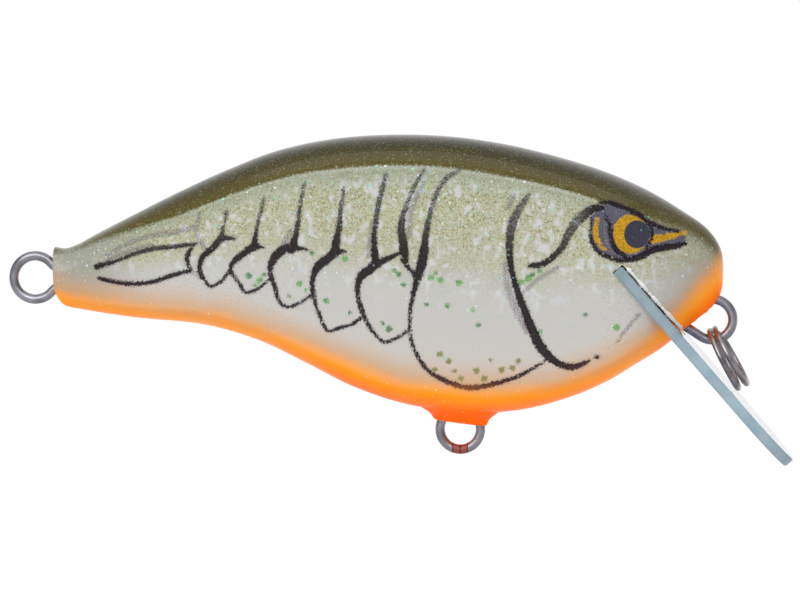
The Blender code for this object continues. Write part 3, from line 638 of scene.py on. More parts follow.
def stroke_distance(points, strokes):
    """Signed distance, in millimetres, from each point to the nearest stroke's edge; negative inside."""
    best = np.full(len(points), FAR_FROM_STROKES)
    for stroke in strokes:
        line = smooth_line(stroke, 5)
        low, high = line[:, :2].min(0) - FAR_FROM_STROKES, line[:, :2].max(0) + FAR_FROM_STROKES
        near = np.flatnonzero(((points > low) & (points < high)).all(1))
        p = points[near]
        found = np.full(len(near), FAR_FROM_STROKES)
        for a, b in zip(line, line[1:]):
            along = b[:2] - a[:2]
            reach = max(1e-9, along @ along)
            t = np.clip((p - a[:2]) @ along / reach, 0, 1)
            gap = np.hypot(*(p - a[:2] - t[:, None] * along).T) - (a[2] + t * (b[2] - a[2])) / 2
            found = np.minimum(found, gap)
        best[near] = np.minimum(best[near], found)
    return best


def polygon_distance(points, outline):
    """Signed distance from each point to a closed outline; negative inside."""
    ends = np.array(outline + outline[:1])
    best = np.full(len(points), 1e9)
    inside = np.zeros(len(points), bool)
    for a, b in zip(ends, ends[1:]):
        along = b - a
        t = np.clip((points - a) @ along / (along @ along), 0, 1)
        best = np.minimum(best, np.hypot(*(points - a - t[:, None] * along).T))
        crosses = (a[1] > points[:, 1]) != (b[1] > points[:, 1])
        with np.errstate(divide="ignore", invalid="ignore"):
            at = a[0] + (points[:, 1] - a[1]) / (b[1] - a[1]) * along[0]
        inside ^= crosses & (points[:, 0] < at)
    return np.where(inside, -best, best)


def oval_distance(points, centre, size):
    return (np.hypot(*((points - centre) / size).T) - 1) * size[0]


def write_pattern(obj):
    """Stores the pattern's distance fields on the skin's vertices."""
    mesh = obj.data
    co = np.empty(len(mesh.vertices) * 3, np.float32)
    mesh.vertices.foreach_get("co", co)
    co = co.reshape(-1, 3).astype(float)
    side = co[:, [0, 2]] / MM
    x, z = side.T
    crease = np.interp(x, *CREASE)
    orange = np.interp(x, *np.array(ORANGE_LINE).T)
    dots = []
    for at, height in DOTS:
        width = DOT_WIDTH + DOT_VARIATION * sin(7 * at)
        dots.append([(at, height, width), (at + DOT_LENGTH, height, DOT_END_WIDTH)])
    fields = {
        "above_crease": z - crease,
        "crease_softness": np.interp(x, *np.array(CREASE_SOFTNESS).T),
        # Where the painted reflection below the crease is strongest: at mid length.
        "painted_reflection_band": np.clip(1 - np.abs(x - REFLECTION_BAND_MIDDLE) / REFLECTION_BAND_REACH, 0, 1),
        "nose": smoothstep(x, *NOSE_FADE),
        "tail": smoothstep(-x, *TAIL_FADE),
        "head": smoothstep(x, *HEAD_FADE),
        "above_orange": z - orange,
        "height_share": (z - orange) / np.maximum(1.0, crease - orange),
        "ink": stroke_distance(side, INK),
        "faint": stroke_distance(side, FAINT) - FAINT_GROWTH,
        "gold": np.minimum(stroke_distance(side, GOLD), oval_distance(side, IRIS_CENTRE, IRIS_SIZE)),
        "bone": stroke_distance(side, BONE),
        "mask": np.minimum(polygon_distance(side, MASK), FAR_FROM_STROKES),
        "pupil": oval_distance(side, PUPIL_CENTRE, PUPIL_SIZE),
        "dots": stroke_distance(side, dots),
    }
    for name, values in fields.items():
        mesh.attributes.new(name, "FLOAT", "POINT").data.foreach_set("value", values.astype(np.float32))


# ---- body


def stations():
    """Shares of the length: close together round the nose, even along the body."""
    start = NOSE_SHARE * (1 - np.cos(np.linspace(0, pi / 2, NOSE_STATIONS)))
    start[0] = FIRST_STATION
    last = 1 - TAIL_ROUNDING / BODY_LENGTH
    return np.concatenate([start, np.linspace(NOSE_SHARE, last, BODY_STATIONS)[1:]])


def skin_half(name, side):
    """The solid half of the painted body on one side of the parting plane."""
    loops = []
    rng = np.random.default_rng(21 + side)

    def add(u, inset, x):
        y, z = half_section(u, 0.0, AROUND)
        middle, tall = (z[0] + z[-1]) / 2, z[0] - z[-1]
        down = (z[0] - z) / tall
        y = SEAM + y * (1 - (SEAM + inset) / y.max())
        z = middle + (z - middle) * (1 - 2 * inset / tall)
        lumps = CHIN_LUMPS * rng.uniform(0, 1, AROUND)
        lumps = (lumps[:-2] + lumps[1:-1] + lumps[2:]) / 3 * smoothstep(-u, *CHIN_SHARE)
        lumps = lumps * smoothstep(down[1:-1], *CHIN_DOWN) * smoothstep(-y[1:-1], *CHIN_IN)
        z[1:-1] -= lumps
        slant = TAIL_SLANT[0] * (1 + down) / 2 + TAIL_SLANT[1] * down**7 + TAIL_BOW * y
        xs = x + slant * float(smoothstep(u, TAIL_SLANT_FROM, 1.0))
        loops.append([(c, side * a, b) for a, b, c in zip(y, z, xs)])

    for u in stations():
        add(u, 0.0, station_x(u))
    for turn in np.linspace(0, pi / 2, TAIL_RINGS + 1)[1:]:
        add(1.0, TAIL_ROUNDING * (1 - cos(turn)), TAIL_X + TAIL_ROUNDING * (1 - sin(turn)))
    return from_grid(name, loops)


def hollow():
    """The body's inside, a little smaller all round."""
    loops = []
    for u in np.linspace(*HOLLOW_SPAN, 60):
        y, z = half_section(u, WALL, 40)
        y = np.maximum(y, 0.0)
        ring = list(zip(y, z)) + list(zip(-y[-2:0:-1], z[-2:0:-1]))
        loops.append([(station_x(u), a, b) for a, b in ring])
    return from_grid("hollow", loops)


def boss_levels():
    """(rise, growth) of the boss's outline: round its lower edge, then up and out into the belly."""
    turns = np.linspace(0, pi / 2, 5)[:-1]
    levels = [(BOSS_ROUNDING * (1 - cos(a)), -BOSS_ROUNDING * (1 - sin(a))) for a in turns]
    for rise in np.linspace(BOSS_ROUNDING, BOSS_SKIN_DROP + BOSS_ROOT, 18).tolist():
        levels.append((rise, BOSS_FLARE * min(BOSS_FLARE_LIMIT, (rise / BOSS_SKIN_DROP) ** BOSS_FLARE_POWER)))
    return levels


def half_boss(name, side):
    """One half of the boss under the belly: a rounded oval that flares out into the belly's round."""
    middle = belly_z(BELLY_EYE_STATION)
    centre = Vector((station_x(BELLY_EYE_STATION) + BELLY_EYE_SHIFT.x, 0.0, middle - BOSS_SKIN_DROP))
    wide, shoulder = float(half_width(BELLY_EYE_STATION)), float(shoulders(BELLY_EYE_STATION)[1])
    loops = []
    for rise, grow in boss_levels():
        ring = []
        for k in range(BOSS_SIDES):
            a = tau * k / BOSS_SIDES
            c, s = cos(a), sin(a)
            x = (BOSS_HALF_LENGTH + grow) * copysign(abs(c) ** BOSS_OVAL_POWER, c)
            y = (BOSS_HALF_WIDTH + grow * BOSS_SIDE_FLARE) * copysign(abs(s) ** BOSS_OVAL_POWER, s)
            lean = min(1.0, rise / BOSS_SKIN_DROP)
            round_side = asin(min(1.0, abs(y) / wide * sin(SHOULDER_ARC)))
            belly = belly_z(BELLY_EYE_STATION - (x + BELLY_EYE_SHIFT.x) / BODY_LENGTH) - middle
            belly += shoulder * (1 - cos(round_side)) / (1 - cos(SHOULDER_ARC))
            z = rise - x * tan(BOSS_TILT) * (1 - lean) + belly * lean
            ring.append(centre + Vector((x, y, z)))
        loops.append(ring)
    boss = from_grid(name, loops)
    bm = bmesh.new()
    bm.from_mesh(boss.data)
    geometry = bm.verts[:] + bm.edges[:] + bm.faces[:]
    seam, outward = (0, side * SEAM, 0), (0, -side, 0)
    cut = bmesh.ops.bisect_plane(bm, geom=geometry, plane_co=seam, plane_no=outward, clear_outer=True)
    edges = [e for e in cut["geom_cut"] if isinstance(e, bmesh.types.BMEdge)]
    bmesh.ops.holes_fill(bm, edges=edges)
    bmesh.ops.recalc_face_normals(bm, faces=bm.faces)
    bm.to_mesh(boss.data)
    bm.free()
    return boss


def slot_cutter():
    """A box, wider than the body, that cuts the lip's slot."""
    bm = bmesh.new()
    bmesh.ops.create_cube(bm, size=1.0)
    thick = LIP_THICKNESS + 2 * SLOT_CLEARANCE
    size = Vector((LIP_LENGTH + 2 * LIP_CLEARANCE, SLOT_WIDTH, thick))
    bmesh.ops.scale(bm, vec=size, verts=bm.verts)
    bmesh.ops.translate(bm, vec=(size.x / 2 - LIP_CLEARANCE, 0, SLOT_LIFT), verts=bm.verts)
    slot = linked("slot", bm)
    slot.matrix_world = LIP_PLACE
    return slot


# ---- hangers


def waisted_path(eye_radius):
    """Round the eye, in to the neck, round the lock loop and back, as (along, across) points."""
    across = NECK_BEND + (WIRE + NECK_GAP) / 2
    along = sqrt((eye_radius + NECK_BEND) ** 2 - across**2)
    reach = along + sqrt((LOCK_LOOP_RADIUS + NECK_BEND) ** 2 - across**2)
    first, second = atan2(across, along), atan2(across, reach - along)
    path = arc_points((0, 0), eye_radius, first, 2 * pi - first, 60)
    path += arc_points((along, -across), NECK_BEND, pi - first, second, 12)[1:]
    path += arc_points((reach, 0), LOCK_LOOP_RADIUS, second - pi, pi - second, 30)[1:]
    path += arc_points((along, across), NECK_BEND, -second, first - pi, 12)[1:-1]
    return path


def pear_path(eye_radius, lock_radius, reach):
    """Round the eye, straight to the lock end, round it and back."""
    turn = acos((eye_radius - lock_radius) / reach)
    path = arc_points((0, 0), eye_radius, turn, 2 * pi - turn, 60)
    return path + arc_points((reach, 0), lock_radius, -turn, turn, 26)


def in_parting_plane(path, centre, heading):
    along = Vector((cos(heading), 0.0, sin(heading)))
    across = Vector((-sin(heading), 0.0, cos(heading)))
    return [centre + a * along + b * across for a, b in path]


def tail_eye_centre():
    u = TAIL_EYE_STATION
    return Vector((TAIL_X - TAIL_EYE_OUT, 0.0, (back_z(u) + belly_z(u)) / 2))


def belly_eye_centre():
    u = BELLY_EYE_STATION
    return Vector((station_x(u), 0.0, belly_z(u) - BOSS_DROP - BELLY_EYE_DROP)) + BELLY_EYE_SHIFT


PATHS = {
    "tail_hanger": in_parting_plane(waisted_path(TAIL_EYE_RADIUS), tail_eye_centre(), 0.0),
    "belly_hanger": in_parting_plane(waisted_path(BELLY_EYE_RADIUS), belly_eye_centre(), pi / 2),
    "line_tie_hanger": in_parting_plane(
        pear_path(LINE_EYE_RADIUS, LINE_LOCK_RADIUS, LINE_LOCK_REACH), Vector((0, 0, 0)), LINE_TIE_HEADING
    ),
}


def slope_axes(slope):
    """The directions down a slope that faces the nose, and square to it."""
    down = Vector((cos(slope), 0.0, -sin(slope)))
    return down, Vector((sin(slope), 0.0, cos(slope)))


def ring_path():
    """Nearly two turns of wire, side by side, that cross over in the middle."""
    down, normal = slope_axes(RING_SLOPE)
    across = Vector((0.0, cos(RING_TWIST), 0.0)) + sin(RING_TWIST) * normal
    radius = (RING_DIAMETER - RING_WIRE) / 2
    seat = LINE_EYE_RADIUS - WIRE / 2 - RING_WIRE / 2 - RING_SEAT_GAP
    centre = Vector((0.0, 0.0, -seat)) + down * radius
    points = []
    for turn in np.linspace(RING_END, 4 * pi - RING_END, 190).tolist():
        angle = turn + RING_TURNED
        over = float(smoothstep(turn, 2 * pi - RING_CROSSING, 2 * pi + RING_CROSSING))
        spread = (RING_PITCH + RING_SPLAY * (1 - cos(angle)) / 2) / 2
        around = -cos(angle) * down + sin(angle) * across
        points.append(centre + radius * around + (2 * over - 1) * spread * normal)
    return points


# ---- materials


def side_paint(n, soft, above, grain, fine, coarse):
    """Warm white above the belly, grey-white in the middle, greenish olive towards the back."""
    stops = [
        (0.0, (226, 216, 206)),
        (0.30, (217, 215, 211)),
        (0.48, (213, 212, 205)),
        (0.62, (206, 205, 180)),
        (0.80, (204, 205, 174)),
        (1.0, (192, 197, 170)),
    ]
    patch = n.noise(4 * MM, 1.0) - 0.5
    spots = n.noise(0.95 * MM, 1.0, vector=n.scaled((1.0, 1.0, 0.75)))
    mottle = spots + (grain - 0.5) * 0.16 + patch * 0.20
    clear = n.step(above, -0.5, -1.8)
    large = n.step(mottle, 0.53, 0.72) * n.step(soft, 0.30, 0.50) * clear
    small = n.step(n.noise(0.52 * MM, 1.0) + patch * 0.22, 0.62, 0.72) * (n.step(soft, 0.36, 0.50) * clear)
    # Mask of the painted reflection of the lights, a pale band just below the crease.
    painted_reflection_band = n.step(above, -2.6, -0.1) * n.attribute("painted_reflection_band") * (n.step(grain, 0.42, 0.6) * 0.30 + 0.20)
    return n.layers(
        n.ramp(soft, stops),
        # Olive and gilt speckle, from the airbrush, that thickens upwards.
        (n.step(grain, 0.50, 0.64) * n.step(soft, 0.38, 0.80) * 0.78, (134, 128, 68)),
        (n.step(coarse, 0.54, 0.62) * n.step(soft, 0.42, 0.80) * 0.42, (176, 168, 84)),
        # Upright pale mottles, small and large, where the stencil held the olive off.
        (small * 0.85, (226, 226, 230)),
        (large * 0.9, (226, 226, 228)),
        # Dark and bright grains of the metallic base.
        (n.step(fine, 0.60, 0.70) * 0.26, (96, 92, 64)),
        (n.step(fine, 0.42, 0.32) * 0.40, (244, 244, 238)),
        # A painted reflection of the lights: a pale band below the crease, strongest at mid length.
        (painted_reflection_band, (176, 184, 184)),
        (n.step(above, -1.5, 0.0) * 0.35, (148, 152, 124)),
        # The tail's end is duller, and the nose duller and more beige.
        (n.attribute("tail") * 0.80, (169, 168, 161)),
        (n.attribute("nose") * 0.7, (166, 160, 146)),
    )


def back_paint(n, above, grain, fine):
    """Near black-green on top, warmer olive beside the crease."""
    stops = [(0.0, (98, 90, 42)), (0.35, (80, 74, 36)), (0.75, (54, 51, 30)), (1.0, (34, 34, 33))]
    return n.layers(
        n.ramp(n.step(above, 0.0, 3.4), stops),
        (n.step(grain, 0.48, 0.66) * 0.5, (64, 56, 26)),
        (n.step(fine, 0.42, 0.30) * 0.42, (170, 152, 84)),
    )


def glitter(n, colour, share, above):
    """Flakes in white, green and blue, and finer dust, both thinner towards the belly and on the back."""
    on_back = n.step(above, -0.2, 0.5)
    spot, red, green, blue = n.cells(0.42 * MM)
    density = n.step(share, 0.25, 0.95) * 0.26 + 0.012
    flake = (red > 1.0 - density) * (spot < green * 0.16 + 0.13)
    flake = flake * n.step(share, -0.2, 0.1) * (1.0 - on_back * 0.86)
    stops = [(0.0, (240, 250, 244)), (0.35, (150, 238, 196)), (0.6, (196, 236, 150)), (0.85, (160, 226, 244))]
    flake_colour = n.ramp(blue, stops, "CONSTANT")
    colour = n.mix(flake * 0.88, colour, flake_colour)
    spot, red, green, blue = n.cells(0.21 * MM)
    density = n.step(share, 0.30, 1.0) * 0.26 + 0.012
    dust = (red > 1.0 - density) * n.step(spot, 0.5, 0.3) * (0.7 - on_back * 0.50)
    dust_colour = n.mix(n.step(blue, 0.4, 0.6), (170, 222, 196), (226, 228, 206))
    dust_colour = n.mix(on_back * 0.7, dust_colour, (176, 168, 116))
    return n.mix(dust, colour, dust_colour), flake, flake_colour


def print_pattern(n, colour, share, low, grain, fine, coarse):
    """The printed lines, dots and eye. Each edge is broken up by the grain, as sprayed through a screen."""
    rough = (grain - 0.5) * 0.60 + (fine - 0.5) * 0.42

    def printed(name, softness=0.05, grow=0.0):
        return n.step(n.attribute(name) + rough, softness + grow, -softness + grow)

    faint = printed("faint", 0.16) * n.step(fine, 0.62, 0.40)
    dot_colour = n.mix(n.step(n.noise(1.3 * MM), 0.42, 0.58), (56, 128, 66), (112, 180, 92))
    dot_colour = n.mix(n.step(share, 0.26, 0.14), dot_colour, (140, 136, 62))
    halo = n.step(n.attribute("ink"), 0.42, 0.0) * n.step(fine, 0.50, 0.62)
    # Ink: bluer and broken where it fades out upwards, redder near the orange.
    faded = n.step(share, 0.60, 1.0) * (1.0 - n.attribute("head"))
    gaps = faded * (n.step(grain, 0.46, 0.58) * 0.55 + 0.12)
    ink_colour = n.layers(
        n.mix(n.step(fine, 0.50, 0.64), (14, 8, 14), (54, 38, 52)),
        (n.step(coarse, 0.56, 0.64) * 0.5, (74, 44, 46)),
        (faded * 0.55, (72, 74, 96)),
        (n.step(low, 2.6, 0.8) * 0.6, (104, 48, 40)),
    )
    return n.layers(
        colour,
        (faint * 0.82, (112, 104, 122)),
        (printed("dots", 0.10) * 0.85, dot_colour),
        # A halo of overspray beside the heavy strokes.
        (halo * 0.55, (78, 68, 76)),
        # The eye's purple-black mask and its gold rings.
        (printed("mask", 0.06), n.mix(n.step(fine, 0.45, 0.62), (90, 88, 105), (114, 113, 129))),
        (printed("gold"), n.mix(n.step(grain, 0.42, 0.58), (222, 172, 34), (188, 140, 20))),
        (printed("bone", 0.06) * 0.7, (168, 156, 140)),
        (printed("ink", 0.06, 0.045) * (0.97 - gaps), ink_colour),
        # The slate pupil has a cleaner edge.
        (
            n.step(n.attribute("pupil") + rough * 0.2, 0.05, -0.05),
            n.mix(n.step(fine, 0.45, 0.60), (56, 57, 72), (72, 72, 88)),
        ),
    )


def painted_material():
    """Airbrushed and printed paint under a clear gloss coat."""
    n = material_nodes("painted_shell_looks", Coat_Roughness=0.04, Coat_IOR=1.42, IOR=1.35)
    n.set(Specular_IOR_Level=0.15)
    share, above = n.attribute("height_share"), n.attribute("above_crease")
    grain, fine, coarse = n.noise(0.18 * MM, 3.0), n.noise(0.10 * MM, 1.0), n.noise(0.26 * MM, 1.0)
    cloud = n.noise(4.5 * MM) - 0.5
    side = side_paint(n, share + cloud * 0.16, above, grain, fine, coarse)
    edge = (above + (grain - 0.5) * 0.35) / n.attribute("crease_softness")
    colour = n.mix(n.step(edge, -0.12, 0.10), side, back_paint(n, above, grain, fine))

    # Orange belly with a soft upper edge under a peach overspray, strongest underneath.
    low = n.attribute("above_orange") + cloud * 0.9
    colour = n.mix(n.step(low, 4.0, 0.3) * 0.74, colour, (237, 172, 98))
    stops = [(0.0, (255, 96, 0)), (0.45, (252, 124, 0)), (1.0, (250, 150, 24))]
    # The orange paint's colours, which also feed the painted glow by emission below.
    orange_and_painted_glow = n.ramp(n.step(low, -2.6, 0.3), stops)
    orange = n.step(low / (n.attribute("nose") + 1.0), 1.5, -0.5)
    colour = n.mix(orange, colour, orange_and_painted_glow)

    # The print covers the glitter, and a few flakes lie over the print too.
    colour, flake, flake_colour = glitter(n, colour, share, above)
    colour = print_pattern(n, colour, share, low, grain, fine, coarse)
    colour = n.mix(flake * 0.35, colour, flake_colour)

    # The orange is a fluorescent paint, and nearly without gloss; a painted glow, by emission, makes it
    # brighter than the light that falls on it.
    n.set(Base_Color=colour, Emission_Color=orange_and_painted_glow, Emission_Strength=orange * 0.42)
    n.set(Coat_Weight=0.6 - orange * 0.56, Metallic=flake * 0.25, Roughness=grain * 0.16 + 0.26)
    n.set(Normal=n.bump(grain, 0.25, 0.02 * MM))
    n.set(Coat_Normal=n.bump(n.noise(2.6 * MM, 1.0), 0.10, 0.05 * MM))
    return n.owner


def wire_material(name, dark, light, painted_eye_reflection=None):
    """Drawn spring wire: soft lengthwise streaks, a few small pits, a dull film and maybe a striped, painted
    reflection of the orange belly.
    """
    n = material_nodes(name, Metallic=1.0)
    streaks, film = n.noise(0.35 * MM, 3.0, roughness=0.6), n.noise(1.6 * MM, 1.0)
    pits = n.noise(0.13 * MM)
    colour = n.layers(
        n.mix(n.step(film, 0.30, 0.70), dark, light),
        (n.step(streaks, 0.45, 0.65) * 0.25, light),
        (n.step(pits, 0.66, 0.74) * 0.45, (74, 70, 72)),
    )
    if painted_eye_reflection:
        # A painted reflection of the orange belly: red-brown and dark stripes on the eye's lower part, not
        # metallic.
        x, _, z = n.parts("XYZ", n.place)
        off = x - painted_eye_reflection.x
        inside = (abs(off) + pits * (0.15 * MM) < EYE_REFLECTION_HALF) * (z < painted_eye_reflection.z)
        stripes = n.step(n.math("COSINE", off * (tau / EYE_REFLECTION_PITCH)), 0.5, 0.95)
        colour = n.mix(inside * 0.92, colour, n.mix(stripes, (170, 62, 38), (34, 24, 26)))
        n.set(Metallic=1.0 - inside)
    n.set(Base_Color=colour, Roughness=film * 0.16 + 0.24, Normal=n.bump(pits, 0.15, 0.02 * MM))
    return n.owner


def clear_material():
    """Clear moulded sheet: nearly invisible faces with faint scuffs."""
    n = material_nodes("lip_faces", IOR=1.50, Transmission_Weight=1.0)
    cloud, scuff = n.noise(3 * MM), n.noise(0.3 * MM, 3.0, vector=n.scaled((1.0, 4.0, 1.0)))
    n.set(Base_Color=n.mix(cloud, (204, 206, 230), (212, 214, 236)))
    n.set(Roughness=n.step(scuff, 0.60, 0.75) * 0.10 + 0.02)
    return n.owner


def rim_material():
    """The sheet's cut edge, where the light piped through it comes out teal-grey."""
    n = material_nodes("lip_rim", IOR=1.50, Transmission_Weight=0.35, Roughness=0.25)
    cloud, fine = n.noise(2.4 * MM), n.noise(0.22 * MM)
    colour = n.mix(n.step(cloud, 0.35, 0.65), (174, 201, 214), (194, 217, 226))
    n.set(Base_Color=n.mix(n.step(fine, 0.56, 0.70) * 0.22, colour, (226, 236, 238)))
    n.set(Normal=n.bump(fine, 0.25, 0.02 * MM))
    return n.owner


def glue_material():
    """Clear glue that looks white, with a faint painted glow, by emission, that lifts it out of the shade."""
    n = material_nodes("glue_bead", IOR=1.48, Roughness=0.2, Emission_Color=WHITE, Emission_Strength=0.12)
    n.set(Base_Color=n.mix(n.noise(0.5 * MM), (240, 240, 238), (252, 252, 252)))
    n.set(Normal=n.bump(n.noise(0.35 * MM), 0.3, 0.05 * MM))
    return n.owner


def plain_material(name, one, other, size, metal, roughness, clear):
    """A two-tone mottled surface with its own bump, for the pieces inside; size is in millimetres."""
    n = material_nodes(name, Metallic=metal, Roughness=roughness, Transmission_Weight=clear)
    cloud = n.noise(size * MM, 3.0)
    n.set(Base_Color=n.mix(n.step(cloud, 0.35, 0.65), one, other), Normal=n.bump(cloud, 0.2, 0.04 * MM))
    return n.owner


# ---- pieces


def build_shells():
    paint = painted_material()
    grooves = []
    for name, path in PATHS.items():
        grooves.append(weld(tube(f"{name}_groove", path, WIRE / 2 + GROOVE_CLEARANCE, True)))
    inside, slot = hollow(), slot_cutter()
    for name, side in (("body_shell_left", 1), ("body_shell_right", -1)):
        skin = skin_half(f"{name}_skin", side)
        applied(skin, [half_boss(f"boss_{name}", side)], "UNION")
        applied(skin, [inside, slot] + grooves, keep=True)
        write_pattern(skin)
        shade(skin, SKIN_SHARP_ANGLE)
        skin.data.materials.clear()
        skin.data.materials.append(paint)
        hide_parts(name)
        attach(skin, "body")
    for cutter in [inside, slot] + grooves:
        bpy.data.objects.remove(cutter, do_unlink=True)


def build_wires():
    dark, light = (138, 137, 144), (172, 171, 178)
    plain = wire_material("hanger_wire", dark, light)
    # Where the painted reflection of the orange belly sits on the belly eye.
    eye_reflection_place = belly_eye_centre() - Vector((0, 0, BELLY_EYE_RADIUS * 0.55))
    belly_eye_look = wire_material("belly_eye_wire", dark, light, eye_reflection_place)
    for i, (name, path) in enumerate(PATHS.items()):
        wire = weld(tube(f"{name}_wire", path, WIRE / 2, True, wobble=0.012, seed=i + 3))
        wire.data.materials.append(belly_eye_look if name == "belly_hanger" else plain)
        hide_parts(name)
        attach(wire, "body")
    ring = tube("split_ring_wire", ring_path(), RING_SKIN_WIRE / 2, False, RING_SIDES, wobble=0.01, seed=9)
    ring.data.materials.append(wire_material("ring_wire", (138, 134, 136), (184, 180, 182)))
    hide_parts("line_tie_split_ring")
    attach(ring, "split_ring")


def notch_end():
    """How far the lip's notch runs from its root, as in the CAD: past where the hanger lies in the plate."""
    run, normal = slope_axes(LIP_SLOPE)
    clear = LIP_THICKNESS / 2 + WIRE / 2 + NOTCH_CLEARANCE
    reach = 0.0
    path = PATHS["line_tie_hanger"]
    for one, other in zip(path, path[1:] + path[:1]):
        for share in np.linspace(0, 1, 12):
            point = one.lerp(other, float(share)) - LIP_ROOT
            if abs(point.dot(normal)) < clear:
                reach = max(reach, point.dot(run))
    return reach + NOTCH_CLEARANCE


def lip_outline():
    """(along, across) points round the lip: its notch, its sides and its oval tip."""
    straight = LIP_LENGTH - LIP_TIP_LENGTH
    half_notch = WIRE / 2 + NOTCH_CLEARANCE
    side = [(notch_end(), half_notch), (0.0, half_notch), (0.0, LIP_ROOT_WIDTH / 2)]
    for share in np.linspace(0, 1, 12)[1:-1]:
        width = LIP_ROOT_WIDTH + (LIP_WIDTH - LIP_ROOT_WIDTH) * smoothstep(share, 0.0, 1.0)
        side.append((straight * share, width / 2))
    for a in np.linspace(0, pi / 2, 40):
        side.append((straight + LIP_TIP_LENGTH * sin(a), LIP_WIDTH / 2 * cos(a)))
    return side + [(s, -w) for s, w in reversed(side[:-1])]


def build_lip():
    bm = bmesh.new()
    face = bm.faces.new([bm.verts.new((s, w, -LIP_THICKNESS / 2)) for s, w in lip_outline()])
    raised = bmesh.ops.extrude_face_region(bm, geom=[face])
    top = [v for v in raised["geom"] if isinstance(v, bmesh.types.BMVert)]
    bmesh.ops.translate(bm, vec=(0, 0, LIP_THICKNESS), verts=top)
    bmesh.ops.recalc_face_normals(bm, faces=bm.faces)
    rims = [f for f in bm.faces if abs(f.normal.z) < 0.5]
    edges = {e for f in rims for e in f.edges if abs((e.verts[0].co - e.verts[1].co).z) < 0.01 * MM}
    bmesh.ops.bevel(
        bm, geom=list(edges), offset=LIP_EDGE_ROUNDING, segments=2, affect="EDGES", clamp_overlap=True
    )
    bm.normal_update()
    for f in bm.faces:
        f.material_index = 0 if abs(f.normal.z) > 0.9 else 1
    lip = shade(linked("diving_lip_sheet", bm), 40)
    lip.matrix_world = LIP_PLACE
    lip.data.materials.append(clear_material())
    lip.data.materials.append(rim_material())
    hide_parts("diving_lip")
    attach(lip, "body")


def build_glue():
    """A thin, uneven line of clear glue where the lip's front face meets the side of the head."""
    run, normal = slope_axes(LIP_SLOPE)
    look = glue_material()
    for name, side in (("left", 1), ("right", -1)):
        rng = np.random.default_rng(4 + side)
        path, radii = [], []
        for s in np.linspace(*GLUE_SPAN, 70).tolist():
            point = LIP_ROOT + run * s + normal * (LIP_THICKNESS / 2 + GLUE_LIFT)
            y, z = half_section((NOSE_X - point.x) / BODY_LENGTH, 0.0, AROUND)
            if not z[-1] < point.z < z[0]:
                break
            out = float(np.interp(-point.z, -z, y))
            path.append(Vector((point.x, side * (out - GLUE_SINK), point.z)))
            wave = GLUE_WAVE * sin(3.1 * s / MM + side)
            radii.append(GLUE_RADIUS + wave + GLUE_ROUGHNESS * rng.uniform(-1, 1))
        last = len(path) - 1
        loops = []
        for i, (p, r) in enumerate(zip(path, radii)):
            along = (path[min(i + 1, last)] - path[max(i - 1, 0)]).normalized()
            a = along.cross(normal).normalized()
            b = along.cross(a)
            r = r * min(1.0, 0.3 + 0.35 * min(i, last - i))
            turns = np.linspace(0, tau, 11)[:-1]
            loops.append([p + r * (cos(t) * a + sin(t) * b) for t in turns])
        bead = shade(from_grid(f"glue_bead_{name}", loops), 80)
        bead.data.materials.append(look)
        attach(bead, "body")


def build_insides():
    colours = {
        "steel_ball": ("polished_balls", (188, 188, 192), (206, 206, 210), 1.2, 1.0, 0.12, 0.0),
        "bead_brass": ("bead_brass", (196, 158, 84), (214, 180, 110), 0.8, 1.0, 0.28, 0.0),
        "ballast_metal": ("ballast_lead", (92, 94, 98), (124, 126, 130), 1.0, 0.8, 0.62, 0.0),
        "tube_plastic": ("tube_plastic", (224, 224, 218), (236, 236, 232), 2.0, 0.0, 0.4, 0.3),
    }
    looks = {slot: plain_material(*values) for slot, values in colours.items()}
    slots = {s["node"]: s["material_slot"] for s in frame["record"]["subparts"]}
    for name, node in frame["nodes"].items():
        if slots.get(name) in looks:
            node.data.materials.clear()
            node.data.materials.append(looks[slots[name]])


# ---- stage


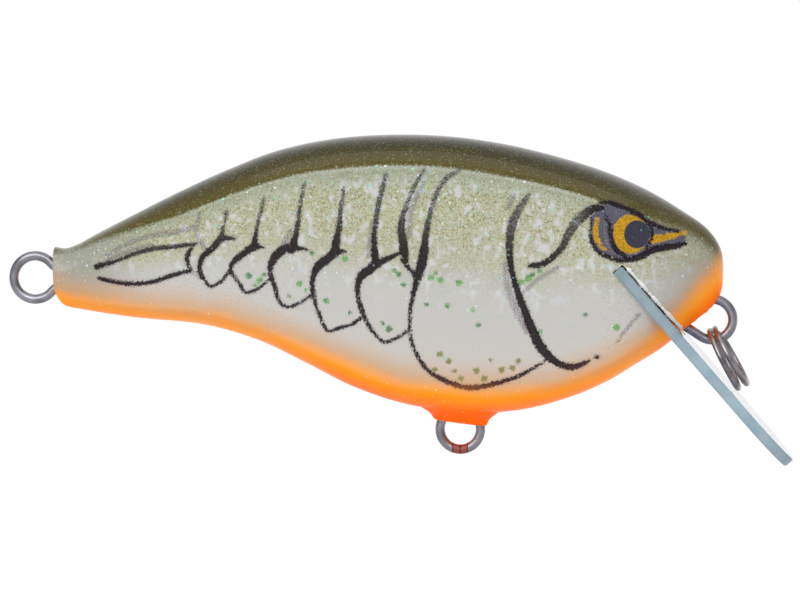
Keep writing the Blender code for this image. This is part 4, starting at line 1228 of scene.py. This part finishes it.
def build_stage():
    """A plain white sheet that brightens behind the lure, in a white room that is dimmer on the near side."""
    mesh = bpy.data.meshes.new("floor")
    ends = (-FLOOR_REACH, FLOOR_REACH)
    mesh.from_pydata([(x, y, FLOOR_HEIGHT) for y in ends for x in ends], [], [(0, 1, 3, 2)])
    floor = link("floor", mesh)
    paper = material_nodes("floor_paper", Roughness=0.9, Emission_Color=WHITE)
    paper.set(Base_Color=paper.mix(paper.noise(0.02), (226, 226, 228), (232, 232, 233)))
    behind = paper.step(paper.parts("XYZ", paper.place)[1], *BRIGHT_FROM)
    paper.set(Emission_Strength=behind * 0.6)
    mesh.materials.append(paper.owner)
    world = bpy.data.worlds.new("studio")
    bpy.context.scene.world = world
    room = Nodes(world, "Background", "Generated", Color=WHITE)
    room.set(Strength=room.step(room.parts("XYZ", room.place)[1], *ROOM_FADE, (NEAR_LIGHT, 1.0)))


def area_light(name, place, size, power):
    data = bpy.data.lights.new(name, "AREA")
    data.shape = "RECTANGLE"
    data.size, data.size_y = size
    data.energy = power
    light = link(name, data)
    light.location = place
    light.rotation_euler = (LIGHT_TARGET - Vector(place)).to_track_quat("-Z", "Y").to_euler()


def build_lights_and_camera():
    area_light("key", (-0.15, -0.50, 0.30), (0.50, 0.40), 1.55)
    area_light("top", (-0.03, -0.05, 0.50), (0.60, 0.25), 0.4)
    camera_data = bpy.data.cameras.new("camera")
    camera_data.lens, camera_data.sensor_width = LENS, SENSOR
    camera_data.clip_start = 0.01
    camera = link("camera", camera_data)
    a, e = CAMERA_AZIMUTH, CAMERA_ELEVATION
    back = Vector((sin(a) * cos(e), -cos(a) * cos(e), sin(e)))
    right = Vector((cos(a), sin(a), 0.0))
    axes = Matrix((right, back.cross(right), back)).transposed().to_4x4()
    place = Matrix.Translation(CAMERA_TARGET + back * (VIEW_WIDTH * LENS / SENSOR))
    camera.matrix_world = place @ axes @ Matrix.Rotation(-CAMERA_ROLL, 4, "Z")
    bpy.context.scene.camera = camera
    bpy.context.scene.view_settings.view_transform = "Standard"


build_shells()
build_wires()
build_lip()
build_glue()
build_insides()
build_stage()
build_lights_and_camera()

bpy.context.view_layer.update()
